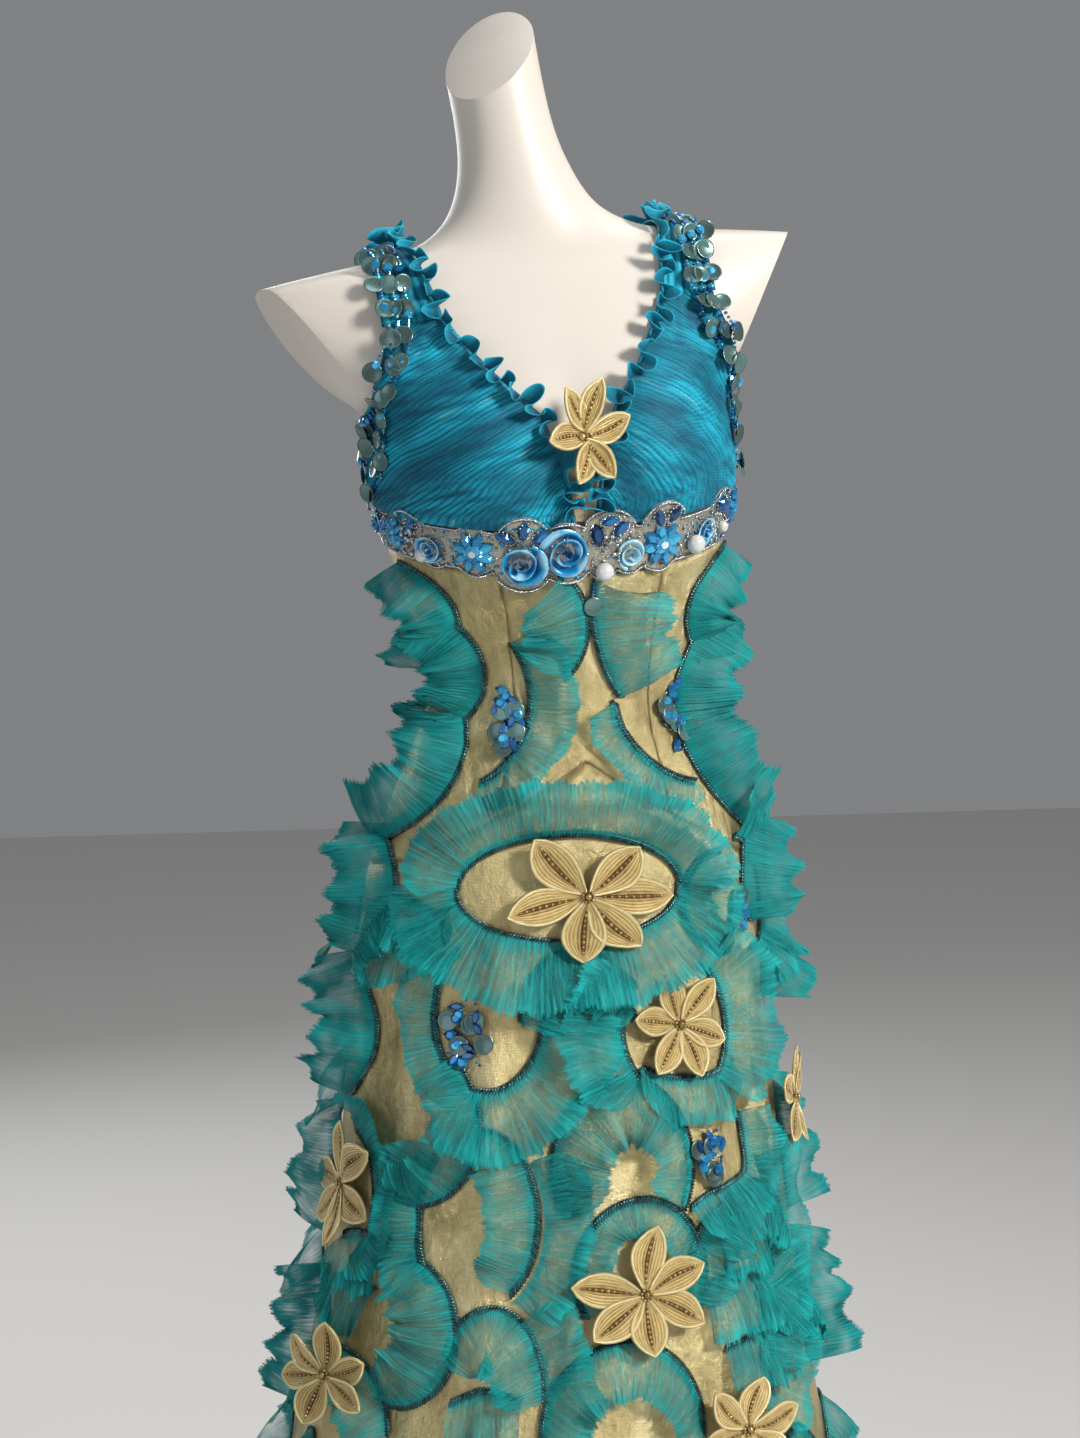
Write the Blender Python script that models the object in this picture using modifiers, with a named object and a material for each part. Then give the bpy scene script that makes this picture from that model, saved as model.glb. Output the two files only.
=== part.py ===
"""Floor-length prom dress standing on a limbless dress form with a pole and a round base.

Metres, +Z up. The form faces -Y, so the wearer's left is at +X. The origin is on the floor,
under the middle of the base plate. Angles go round the body from the centre front (0),
through the wearer's left side (90) to the centre back (180).
"""

import math

import bmesh
import bpy
import numpy as np
from mathutils import Vector

# Cloth
CLEARANCE = 0.0025          # cloth to form
CLOTH = 0.0015              # wall of the satin panels
SEAM = 0.0003               # gap where two pieces meet
REST_GAP = 0.0009           # lift of what lies on a panel
CUP_WALL = 0.0030           # padded cup under its chiffon
STRAP_CLOTH = 0.0025        # gathered chiffon of a strap
ORGANZA = 0.0010            # wall of a ruffle

# Levels of the dress, before the form leans
HEM = 0.030
HIP_SEAM_FRONT = 1.018      # peak of the pointed seam at the centre front
HIP_SEAM_DROP = 0.092       # how far it falls to the sides
UNDERBUST_FRONT = 1.192
UNDERBUST_RISE = 0.060
CUP_TOP = 1.385

# The pose of the form: the chest leans to the wearer's right
LEAN = math.radians(7.0)
LEAN_FROM, LEAN_TO = 1.00, 1.40

# Folds of the skirt, and where they start
FOLDS = 10
FOLD_DEPTH = 0.016
FOLD_TOP = 0.72

# Height, half width, front depth, back depth and side shift of the form's level sections
FORM_SECTIONS = (
    (0.760, 0.150, 0.090, 0.100, 0.000),
    (0.860, 0.165, 0.098, 0.118, 0.000),
    (0.930, 0.160, 0.100, 0.110, 0.000),
    (1.000, 0.134, 0.092, 0.088, 0.000),
    (1.060, 0.112, 0.081, 0.074, 0.000),
    (1.120, 0.118, 0.087, 0.078, 0.000),
    (1.180, 0.135, 0.098, 0.086, 0.000),
    (1.240, 0.147, 0.106, 0.093, 0.000),
    (1.290, 0.148, 0.104, 0.098, 0.000),
    (1.318, 0.156, 0.098, 0.098, 0.000),
    (1.345, 0.186, 0.088, 0.095, 0.000),
    (1.370, 0.214, 0.078, 0.090, 0.000),
    (1.395, 0.238, 0.067, 0.082, 0.000),
    (1.413, 0.245, 0.058, 0.074, 0.000),
    (1.427, 0.236, 0.050, 0.066, 0.000),
    (1.436, 0.180, 0.047, 0.062, 0.000),
    (1.443, 0.125, 0.046, 0.060, 0.000),
    (1.452, 0.090, 0.045, 0.058, 0.000),
    (1.470, 0.064, 0.044, 0.056, -0.002),
    (1.500, 0.048, 0.042, 0.052, -0.004),
    (1.540, 0.040, 0.041, 0.050, -0.008),
    (1.600, 0.039, 0.041, 0.050, -0.013),
    (1.660, 0.040, 0.042, 0.051, -0.016),
)

# The skirt below the hips stands away from the form
SKIRT_SECTIONS = (
    (0.020, 0.330, 0.285, 0.335, 0.000),
    (0.200, 0.276, 0.236, 0.276, 0.000),
    (0.420, 0.226, 0.186, 0.212, 0.000),
    (0.620, 0.193, 0.148, 0.166, 0.000),
    (0.780, 0.176, 0.117, 0.138, 0.000),
    (0.860, 0.170, 0.103, 0.123, 0.000),
)
HIP_ROW = 2                 # the form's row from which the dress follows it

# Bust of the form: two low rounds
BUST_HEIGHT, BUST_SPAN = 1.268, 0.078
BUST_REACH, BUST_TALL, BUST_RISE = 0.056, 0.062, 0.030


def smoothed(rows, steps=8):
    """The rows with a smooth curve through them, as an array with steps times as many."""
    table = np.array(rows, float)
    ends = np.vstack([2 * table[0] - table[1], table, 2 * table[-1] - table[-2]])
    made = []
    for before, start, end, after in zip(ends[:-3], ends[1:-2], ends[2:-1], ends[3:]):
        for part in np.arange(steps) / steps:
            made.append(
                0.5
                * (
                    2 * start
                    + (end - before) * part
                    + (2 * before - 5 * start + 4 * end - after) * part**2
                    + (3 * start - before - 3 * end + after) * part**3
                )
            )
    made.append(table[-1])
    return np.array(made)


FORM = smoothed(FORM_SECTIONS)
GOWN = smoothed(SKIRT_SECTIONS + FORM_SECTIONS[HIP_ROW:])


def lean_at(height):
    """Lean of the section at each height, and how far its middle has gone sideways."""
    levels = np.linspace(LEAN_FROM, 1.70, 200)
    share = np.clip((levels - LEAN_FROM) / (LEAN_TO - LEAN_FROM), 0, 1)
    angles = LEAN * share * share * (3 - 2 * share)
    moved = -np.cumsum(np.tan(angles)) * (levels[1] - levels[0])
    return np.interp(height, levels, angles), np.interp(height, levels, moved)


def leaned(side, depth, height):
    angle, moved = lean_at(height)
    return np.stack(
        [moved + side * np.cos(angle), depth, height + side * np.sin(angle)], axis=-1
    )


def fold_share(height):
    """How strongly the skirt's folds show at each height: 0 at their top, 1 at the hem."""
    return np.clip((FOLD_TOP - height) / (FOLD_TOP - HEM), 0, 1) ** 1.3


def on_sections(sections, angle, height):
    """Points of a stack of oval sections, at angles round the body and heights."""
    angle, height = np.broadcast_arrays(np.asarray(angle, float), np.asarray(height, float))
    half, front, back, shift = (
        np.interp(height, sections[:, 0], sections[:, k]) for k in range(1, 5)
    )
    facing = np.cos(angle)
    swell = 1 + FOLD_DEPTH / 0.3 * fold_share(height) * np.cos(FOLDS * angle)
    side = half * np.sin(angle) * swell
    depth = -np.where(facing > 0, front, back) * facing * swell
    bust = BUST_RISE * np.exp(
        -(((np.abs(side) - BUST_SPAN) / BUST_REACH) ** 2)
        - ((height - BUST_HEIGHT) / BUST_TALL) ** 2
    )
    depth = depth - bust * np.clip(facing, 0, 1) ** 0.5
    return leaned(side + shift, depth, height)


def placed(sections, angle, height, lift):
    """Points at a lift outside the sections, square to their surface."""
    step = 1e-4
    here = on_sections(sections, angle, height)
    around = on_sections(sections, np.asarray(angle) + step, height) - here
    upward = on_sections(sections, angle, np.asarray(height) + step) - here
    normal = np.cross(around, upward)
    normal /= np.linalg.norm(normal, axis=-1, keepdims=True)
    return here + normal * np.asarray(lift)[..., None]


def reach(sections, angle, height):
    """Metres that one radian covers round the body there."""
    step = 1e-4
    move = on_sections(sections, angle + step, height) - on_sections(sections, angle, height)
    return np.linalg.norm(move, axis=-1) / step


# Seam lines


def hip_seam(angle):
    """Height of the seam between the body and the skirt: a point at the front, level behind."""
    return HIP_SEAM_FRONT - HIP_SEAM_DROP * np.abs(np.sin(np.clip(angle, -math.pi / 2, math.pi / 2)))


def band_middle(angle):
    return UNDERBUST_FRONT + UNDERBUST_RISE * np.sin(angle / 2) ** 2


def band_bottom(angle):
    return band_middle(angle) - BAND_HALF


def band_top(angle):
    return band_middle(angle) + BAND_HALF


def yoke_top(angle):
    """Top edge of the back: low under the arms, high where the straps join."""
    degrees = np.degrees(np.abs(angle))
    return np.interp(degrees, (97.5, 112.0, 140.0, 180.0), (1.252, 1.284, 1.284, 1.264))


def neckline(height):
    """Half the opening of the neckline at each height."""
    return np.interp(
        height,
        (1.196, 1.250, 1.300, 1.335, 1.372, 1.420),
        (0.006, 0.015, 0.030, 0.058, 0.082, 0.104),
    )


def armhole(height):
    """How far out the edge of a cup lies at each height above the underarm."""
    return np.interp(height, (1.285, 1.310, 1.337, 1.382), (0.152, 0.156, 0.148, 0.135))


# Panels

COLUMN = math.radians(7.5)      # a panel's columns, round the body
PRINCESS = 4 * COLUMN           # seams of the body panels
SIDE = 13 * COLUMN
BAND_HALF = 0.019
BODY_ROWS, SKIRT_ROWS = 6, 12
OUTER = CLEARANCE + CLOTH


def mesh_object(name, mesh, material):
    made = bpy.data.objects.new(name, mesh)
    made.data.materials.append(material)
    mesh.shade_smooth()
    mesh.set_sharp_from_angle(angle=math.radians(40))
    DRESS.objects.link(made)
    return made


def thickened(bm, name, material, inside, outside):
    """A closed wall: the flat cells of bm become its inner face, a copy its outer face.

    inside and outside turn each cell corner's two flat coordinates into a point.
    """
    kept = list(bm.verts)
    grown = bmesh.ops.extrude_face_region(bm, geom=bm.faces[:], use_keep_orig=True)["geom"]
    fresh = [item for item in grown if isinstance(item, bmesh.types.BMVert)]
    for corners, surface in ((kept, inside), (fresh, outside)):
        flat = np.array([corner.co[:2] for corner in corners])
        for corner, spot in zip(corners, surface(flat[:, 0], flat[:, 1])):
            corner.co = Vector(spot)
    bmesh.ops.recalc_face_normals(bm, faces=bm.faces)
    if bm.calc_volume(signed=True) < 0:
        bmesh.ops.reverse_faces(bm, faces=bm.faces)
    bmesh.ops.triangulate(bm, faces=bm.faces)
    mesh = bpy.data.meshes.new(name)
    bm.to_mesh(mesh)
    bm.free()
    return mesh_object(name, mesh, material)


def wall(name, material, columns, rows, inside, outside):
    """A closed wall on a grid; inside and outside take shares across and up."""
    bm = bmesh.new()
    bmesh.ops.create_grid(bm, x_segments=columns, y_segments=rows, size=0.5)
    bmesh.ops.translate(bm, verts=bm.verts, vec=(0.5, 0.5, 0.0))
    return thickened(bm, name, material, inside, outside)


def panel(name, material, start, end, rows, bottom, top, wall_lift=CLOTH, column=COLUMN):
    """A body panel from one seam angle to another, between two seam lines."""
    columns = round((end - start) / column)

    def surface(lift):
        def points(across, up):
            angle = start + (end - start) * across
            low, high = bottom(angle) + SEAM / 2, top(angle) - SEAM / 2
            height = low + (high - low) * up
            edge = (across < 0.001) * 1.0 - (across > 0.999) * 1.0
            angle = angle + edge * SEAM / 2 / reach(GOWN, angle, height)
            return placed(GOWN, angle, height, lift)

        return points

    return wall(name, material, columns, rows, surface(CLEARANCE), surface(CLEARANCE + wall_lift))


def on_gown(angle, height, lift):
    """Points at a lift over the flat facets of the gown's own panels."""
    angle, height, lift = np.broadcast_arrays(angle, height, lift)
    column = np.floor(angle / COLUMN)
    across = angle / COLUMN - column
    on_body = height > (1 - across) * hip_seam(column * COLUMN) + across * hip_seam((column + 1) * COLUMN)
    rows = np.where(on_body, BODY_ROWS, SKIRT_ROWS)

    def span(turn):
        seam = hip_seam(turn)
        return np.where(on_body, seam, HEM), np.where(on_body, band_bottom(turn), seam)

    left, right = span(column * COLUMN), span((column + 1) * COLUMN)
    low = (1 - across) * left[0] + across * right[0]
    high = (1 - across) * left[1] + across * right[1]
    up = np.clip((height - low) / (high - low), 0, 1.2) * rows
    row = np.minimum(np.floor(up), rows - 1)
    up = (up - row)[..., None]
    across = across[..., None]

    def corner(turn, ends, level):
        rise = ends[0] + (ends[1] - ends[0]) * level / rows
        return placed(GOWN, turn, rise, OUTER + lift)

    lower = (1 - across) * corner(column * COLUMN, left, row)
    lower += across * corner((column + 1) * COLUMN, right, row)
    upper = (1 - across) * corner(column * COLUMN, left, row + 1)
    upper += across * corner((column + 1) * COLUMN, right, row + 1)
    return (1 - up) * lower + up * upper


def level(height):
    return lambda angle: np.full(np.shape(angle), height)


def gown_panels(satin):
    parts = (
        ("midriff_centre", -PRINCESS, PRINCESS),
        ("midriff_side_right", -SIDE, -PRINCESS),
        ("midriff_side_left", PRINCESS, SIDE),
        ("midriff_back_right", -math.pi, -SIDE),
        ("midriff_back_left", SIDE, math.pi),
    )
    for name, start, end in parts:
        panel(name, satin, start, end, BODY_ROWS, hip_seam, band_bottom)
    skirt = (
        ("skirt_front", -SIDE, SIDE),
        ("skirt_back_right", -math.pi, -SIDE),
        ("skirt_back_left", SIDE, math.pi),
    )
    for name, start, end in skirt:
        panel(name, satin, start, end, SKIRT_ROWS, level(HEM - SEAM / 2), hip_seam)


# The jewelled band: angle, rise over its middle, radius and height of each raised motif
BAND_MOTIFS = (
    (-86.0, 0.004, 0.012, 0.006),
    (-70.0, 0.006, 0.015, 0.006),
    (-54.0, 0.000, 0.014, 0.007),
    (-37.0, -0.003, 0.017, 0.008),
    (-22.0, -0.006, 0.019, 0.009),
    (-7.5, -0.002, 0.020, 0.009),
    (6.0, -0.006, 0.012, 0.006),
    (15.0, -0.006, 0.012, 0.007),
    (27.0, -0.002, 0.018, 0.008),
    (42.0, -0.004, 0.013, 0.007),
    (52.0, 0.000, 0.011, 0.007),
    (66.0, 0.004, 0.013, 0.006),
    (80.0, 0.004, 0.014, 0.007),
)
BAND_CLOTH = 0.0025


def jewelled_band(braid):
    """The front band is one strip; its roses and crystal flowers are low rounds on it."""
    columns, rows = 52, 5

    def angle_of(across):
        return -SIDE + 2 * SIDE * across

    def surface(lift_of):
        def points(across, up):
            angle = angle_of(across)
            low, high = band_bottom(angle) + SEAM / 2, band_top(angle) - SEAM / 2
            height = low + (high - low) * up
            edge = (across < 0.001) * 1.0 - (across > 0.999) * 1.0
            turned = angle + edge * SEAM / 2 / reach(GOWN, angle, height)
            return placed(GOWN, turned, height, lift_of(angle, height))

        return points

    def raised(angle, height):
        total = np.full(angle.shape, CLEARANCE + BAND_CLOTH)
        for turn, rise, radius, bulge in BAND_MOTIFS:
            turn = math.radians(turn)
            across = (angle - turn) * reach(GOWN, angle, height)
            far = np.hypot(across, height - band_middle(turn) - rise) / radius
            total = np.maximum(total, CLEARANCE + BAND_CLOTH + bulge * np.clip(1 - far**2, 0, 1) ** 0.5)
        return total

    flat = surface(lambda angle, height: np.full(angle.shape, CLEARANCE))
    wall("band_front", braid, columns, rows, flat, surface(raised))
    panel("band_back_right", braid, -math.pi, -SIDE, 1, band_bottom, band_top)
    panel("band_back_left", braid, SIDE, math.pi, 1, band_bottom, band_top)


# Cups, straps and yoke

CUP_ROWS, CUP_COLUMNS = 20, 7
CUP_PLEAT = 0.0013          # half the depth of a cup's pleats
CUP_EASE = 0.004            # how far a cup stands off under the arm
STRAP_IN, STRAP_OUT = 0.104, 0.139
STRAP_TAPER = 0.014         # how far the strap widens to the neck where it leaves the cup
STRAP_LOW = 1.270           # where the strap's arch over the shoulder starts
CORNER = 0.45               # share of the cup's outer edge that is armhole


UPPER = FORM[FORM[:, 0] > 1.4135]       # the form from its widest level up


def side_angle(side, height):
    """Angle round the form of a point at a distance from the middle."""
    half = np.interp(height, FORM[:, 0], FORM[:, 1])
    return np.arcsin(np.clip(side / half, -1, 1))


def cup_edges(up):
    """Angle and height of a cup's inner and outer edge; up runs from the band to the strap."""
    down = 1 - up
    low = UNDERBUST_FRONT + BAND_HALF + 0.003
    inner_height = CUP_TOP - SEAM / 2 + (low - CUP_TOP) * down
    inner = side_angle(neckline(inner_height), inner_height)
    underarm = band_top(SIDE) + 0.006
    share = np.clip(down / CORNER, 0, 1)
    arm_height = CUP_TOP - SEAM / 2 + (underarm - CUP_TOP) * share
    edge = side_angle(armhole(arm_height), arm_height)
    blend = np.clip((1.300 - arm_height) / 0.040, 0, 1)
    seam = SIDE - SEAM
    arm_angle = np.where(arm_height < 1.300, edge + (seam - edge) * blend, edge)
    along = np.clip((down - CORNER) / (1 - CORNER), 0, 1)
    foot_angle = seam + (math.radians(7.0) - seam) * along
    foot_height = band_top(foot_angle) + SEAM * 1.5 + 0.006 * (1 - np.clip(along * 8, 0, 1))
    on_arm = down < CORNER
    outer = np.where(on_arm, arm_angle, foot_angle)
    outer_height = np.where(on_arm, arm_height, foot_height)
    return inner, inner_height, outer, outer_height


def cup_spot(across, up):
    inner, inner_height, outer, outer_height = cup_edges(up)
    angle = inner + (outer - inner) * across
    return angle, inner_height + (outer_height - inner_height) * across


def cups(chiffon):
    for name, hand in (("cup_right", -1), ("cup_left", 1)):

        def lifted(across, up, lift, hand=hand):
            angle, height = cup_spot(across, up)
            ease = CUP_EASE * across**2 * np.sqrt(np.sin(math.pi * np.clip(up, 0, 1)))
            return placed(FORM, hand * angle, height, CLEARANCE + ease + lift)

        def inside(across, up, lifted=lifted):
            return lifted(across, up, 0.0)

        def outside(across, up, lifted=lifted):
            ridge = np.where(np.round(up * CUP_ROWS) % 2 > 0.5, 1, -1) * CUP_PLEAT
            return lifted(across, up, CUP_WALL + ridge)

        wall(name, chiffon, CUP_COLUMNS, CUP_ROWS, inside, outside)


def over_shoulder(hand, side, arch, lift):
    """A point on a lane over the shoulder; arch runs from -90 in front to +90 behind."""

    def lane(side, arch):
        crest = np.interp(-side, -UPPER[:, 1], UPPER[:, 0])
        height = STRAP_LOW + (crest - STRAP_LOW) * np.cos(arch)
        half, front, back = (np.interp(height, FORM[:, 0], FORM[:, k]) for k in (1, 2, 3))
        deep = np.sqrt(np.clip(1 - (side / half) ** 2, 0, 1))
        return np.stack([side, np.where(arch < 0, -front, back) * deep, height], axis=-1)

    step = 1e-3
    here = lane(side, arch)
    across = lane(side + step, arch) - lane(side - step, arch)
    along = lane(side, arch + step) - lane(side, arch - step)
    normal = np.cross(across, along)
    normal /= np.linalg.norm(normal, axis=-1, keepdims=True)
    spot = here + normal * np.asarray(lift)[..., None]
    return leaned(hand * spot[..., 0], spot[..., 1], spot[..., 2])


def straps(chiffon):
    """Straps run from the cups over the shoulders to the top of the back."""
    rows, columns = 14, 3
    for name, hand in (("strap_right", -1), ("strap_left", 1)):

        def surface(lift, hand=hand):
            def points(across, up):
                side = STRAP_IN + (STRAP_OUT - STRAP_IN) * across
                side = side - STRAP_TAPER * np.clip(1 - up * 4, 0, 1) * (1 - across)
                crest = np.interp(-side, -UPPER[:, 1], UPPER[:, 0])
                first = -np.arccos((CUP_TOP + SEAM - STRAP_LOW) / (crest - STRAP_LOW))
                last = np.arccos((yoke_top(2.2) + SEAM - STRAP_LOW) / (crest - STRAP_LOW))
                return over_shoulder(hand, side, first + (last - first) * up, lift)

            return points

        wall(name, chiffon, columns, rows, surface(CLEARANCE), surface(CLEARANCE + STRAP_CLOTH))



def back_yoke(chiffon):
    for name, start, end in (("back_yoke_right", -math.pi, -SIDE), ("back_yoke_left", SIDE, math.pi)):
        panel(name, chiffon, start, end, 2, band_top, yoke_top)


def centre_insert(mesh_cloth):
    """The see-through piece between the cups at the foot of the neckline."""
    low, high = UNDERBUST_FRONT + BAND_HALF + 0.004, 1.286

    def surface(lift):
        def points(across, up):
            height = low + (high - low) * up
            half = neckline(height) - 0.0012
            return placed(FORM, side_angle(half * (2 * across - 1), height), height, lift)

        return points

    wall("centre_insert", mesh_cloth, 4, 5, surface(CLEARANCE), surface(CLEARANCE + CLOTH))


# Frills

FRILL_WIDTH = 0.020         # neck frill, from the seam to its edge
NECK_WAVES = 16
FRILL_ON_CUP = 44 / 64      # share of the neck frill that lies on the cup
FRILL_INSET = 0.003         # the frill's seam from the cup's edge


def neck_frills(organza):
    """Curly frills on the neckline edge, from the foot of the neckline over the shoulder."""
    for name, hand in (("neck_frill_right", -1), ("neck_frill_left", 1)):

        def surface(extra, hand=hand):
            def points(across, up):
                wave = np.cos(2 * math.pi * NECK_WAVES * across)
                start = np.clip(across / 0.25, 0, 1)
                rise = 0.0018 + (0.006 + 0.005 * start + 0.004 * wave * start) * up
                cup_share = np.clip(across / FRILL_ON_CUP, 0, 1)
                height = UNDERBUST_FRONT + BAND_HALF + 0.012
                height = height + (CUP_TOP - 0.002 - height) * cup_share
                root = neckline(height) + FRILL_INSET
                side = root - (FRILL_INSET + 0.004 + (FRILL_WIDTH - 0.009) * start) * up
                lift = CLEARANCE + CUP_WALL + CUP_PLEAT + rise + extra
                on_cup = placed(FORM, hand * side_angle(side, height), height, lift)
                lane = STRAP_IN + 0.004 - (FRILL_WIDTH - 0.004) * up
                lane = lane - STRAP_TAPER * np.clip(1 - (across - FRILL_ON_CUP) * 5, 0, 1)
                crest = np.interp(-lane, -UPPER[:, 1], UPPER[:, 0])
                first = -np.arccos((CUP_TOP + 0.004 - STRAP_LOW) / (crest - STRAP_LOW))
                over = np.clip((across - FRILL_ON_CUP) / (1 - FRILL_ON_CUP), 0, 1)
                arch = first + (0.5 - first) * over
                lift = CLEARANCE + STRAP_CLOTH + 0.0008 + 0.0015 * (1 - over) + extra
                lift = lift + (0.011 + 0.004 * wave) * up
                on_strap = over_shoulder(hand, lane, arch, lift)
                return np.where((across <= FRILL_ON_CUP + 1e-6)[:, None], on_cup, on_strap)

            return points

        wall(name, organza, 4 * NECK_WAVES, 1, surface(0.0), surface(ORGANZA))


# Frills sewn in arcs on the gown. Each lies on an ellipse: angle and height of its middle,
# half its width and height, where the arc starts and how far it sweeps (0 is towards the
# wearer's left, 90 is up), which way the frill falls (1 out of the ellipse, -1 into it),
# how many waves it has, and how far its edge stands off the gown.
ARC_FRILLS = (
    ("frill_bodice_right", -22, 1.130, 0.046, 0.054, -48, 100, -1, 4, 0.017),
    ("frill_bodice_low", -46, 1.068, 0.040, 0.072, -38, 43, 1, 3, 0.017),
    ("frill_bodice_left", 58, 1.150, 0.100, 0.125, 173, 45, -1, 4, 0.017),
    ("frill_side_left", 98, 1.046, 0.072, 0.092, 122, 126, -1, 6, 0.030),
    ("frill_side_right", -98, 1.020, 0.072, 0.078, -95, 118, -1, 5, 0.032),
    ("frill_underarm_right", -94, 1.142, 0.056, 0.050, -80, 140, -1, 4, 0.030),
    ("frill_hip_top", -6, 0.916, 0.096, 0.044, 8, 164, 1, 7, 0.018),
    ("frill_hip_bottom", -6, 0.916, 0.096, 0.044, 188, 164, 1, 7, 0.018),
    ("frill_hip_left", 58, 0.900, 0.036, 0.046, -80, 160, 1, 4, 0.020),
    ("frill_thigh_right", -100, 0.790, 0.078, 0.064, -60, 130, -1, 5, 0.032),
    ("frill_thigh_left", 25, 0.796, 0.050, 0.056, 160, 46, 1, 3, 0.017),
    ("frill_big_arch", 7, 0.694, 0.058, 0.064, -5, 190, -1, 6, 0.017),
    ("frill_ball_right", -49, 0.728, 0.053, 0.062, -95, 120, -1, 4, 0.018),
    ("frill_lower_arch", 9, 0.580, 0.050, 0.056, 0, 180, 1, 5, 0.018),
    ("frill_bottom_arch", 4, 0.480, 0.066, 0.064, 5, 170, -1, 6, 0.017),
    ("frill_low_ball_right", -49, 0.550, 0.050, 0.054, -110, 190, -1, 5, 0.018),
    ("frill_arch_left", 44, 0.606, 0.052, 0.058, 25, 140, -1, 5, 0.017),
    ("frill_outer_left", 96, 0.790, 0.078, 0.070, 92, 92, -1, 5, 0.032),
)

# Scalloped rows of frill: start and end angle, height, arches and their rise
ROW_FRILLS = (
    ("frill_row_front_upper", -90, 90, 0.300, 6, 0.066),
    ("frill_row_front_lower", -90, 90, 0.120, 6, 0.066),
    ("frill_row_back_right_1", -176.25, -101.25, 0.860, 2, 0.060),
    ("frill_row_back_left_1", 101.25, 176.25, 0.860, 2, 0.060),
    ("frill_row_back_right_2", -176.25, -101.25, 0.560, 2, 0.060),
    ("frill_row_back_left_2", 101.25, 176.25, 0.560, 2, 0.060),
    ("frill_row_back_right_3", -176.25, -101.25, 0.210, 3, 0.066),
    ("frill_row_back_left_3", 101.25, 176.25, 0.210, 3, 0.066),
)
RUFFLE_WIDTH = 0.038
RUFFLE_WAVE = 0.005
ROW_STAND = 0.022           # how far the edge of a row stands off


def ruffle(name, organza, root, away, waves, stand):
    """A frill with its root on the gown along a line and its free edge standing off it.

    away is 1 or -1 for a frill square to its line, or 0 for one that hangs straight down.
    """

    def surface(extra):
        def points(across, up):
            step = 1e-3
            angle, height = root(across)
            after, before = root(across + step), root(across - step)
            along = (after[0] - before[0]) * reach(GOWN, angle, height)
            rise = after[1] - before[1]
            length = np.hypot(along, rise)
            if away:
                width = away * RUFFLE_WIDTH * up
                height = height - width * along / length
                angle = angle + width * rise / length / reach(GOWN, angle, height)
            else:
                height = height - RUFFLE_WIDTH * up
            wave = RUFFLE_WAVE * np.cos(2 * math.pi * waves * across)
            edge = placed(GOWN, angle, height, OUTER + stand + wave + extra)
            seated = on_gown(angle, height, REST_GAP + extra)
            return np.where((up > 0.5)[:, None], edge, seated)

        return points

    wall(name, organza, 4 * waves, 1, surface(0.0), surface(ORGANZA))


def arc_frills(organza):
    for name, turn, middle, half_across, half_up, start, sweep, away, waves, stand in ARC_FRILLS:
        turn = math.radians(turn)
        radius = reach(GOWN, np.array(turn), np.array(middle))

        def root(share, turn=turn, middle=middle, a=half_across, b=half_up, r=radius, s=start, w=sweep):
            way = np.radians(s + w * share)
            return turn + a / r * np.cos(way), middle + b * np.sin(way)

        ruffle(name, organza, root, away, waves, stand)


def row_frills(organza):
    for name, start, end, height, arches, rise in ROW_FRILLS:

        def root(share, start=start, end=end, height=height, arches=arches, rise=rise):
            angle = np.radians(start + (end - start) * share)
            return angle, height + rise * np.abs(np.sin(math.pi * arches * share)) ** 0.8

        ruffle(name, organza, root, 0, round((end - start) / 15), ROW_STAND)


# Flowers: angle, height, radius across and up, and turn, in the order they are named
FLOWERS = (
    ("flower_hip", -1, 0.912, 0.062, 0.044, 12),
    ("flower_thigh_left", 23, 0.800, 0.042, 0.046, 0),
    ("flower_outer_left", 84, 0.712, 0.048, 0.045, 20),
    ("flower_right", -84, 0.658, 0.045, 0.050, 8),
    ("flower_lower", 9, 0.588, 0.056, 0.050, 15),
    ("flower_back_right", -140, 0.800, 0.056, 0.052, 0),
    ("flower_back_left", 140, 0.456, 0.056, 0.052, 24),
)
BUST_FLOWER = 1.281         # height of the flower at the foot of the neckline
BUST_FLOWER_LIFT = 0.0222   # it lies on both neck frills
PETALS = 6
FLOWER_CLOTH, FLOWER_RISE = 0.0018, 0.009


def flower_disc(name, gilt, radius_across, radius_up, turn, place):
    """A six-petalled flower: a round of 24 rim points, drawn in between the petals."""
    bm = bmesh.new()
    bmesh.ops.create_circle(bm, cap_ends=True, cap_tris=True, segments=4 * PETALS, radius=1.0)
    spokes = [edge for edge in bm.edges if min(corner.co.length for corner in edge.verts) < 0.5]
    bmesh.ops.subdivide_edges(bm, edges=spokes, cuts=1)

    def spread(flat_x, flat_y):
        far = np.hypot(flat_x, flat_y)
        way = np.arctan2(flat_y, flat_x)
        petal = 0.5 + 0.5 * np.cos(PETALS * way)
        far = far * (0.46 + 0.54 * petal**0.8)
        way = way + math.radians(turn)
        return far, radius_across * far * np.cos(way), radius_up * far * np.sin(way)

    def inside(flat_x, flat_y):
        far, across, up = spread(flat_x, flat_y)
        return place(across, up, REST_GAP + FLOWER_RISE * far)

    def outside(flat_x, flat_y):
        far, across, up = spread(flat_x, flat_y)
        heart = 0.003 * np.clip(1 - 3 * far, 0, 1)
        return place(across, up, REST_GAP + FLOWER_RISE * far + FLOWER_CLOTH + heart)

    thickened(bm, name, gilt, inside, outside)


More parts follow.
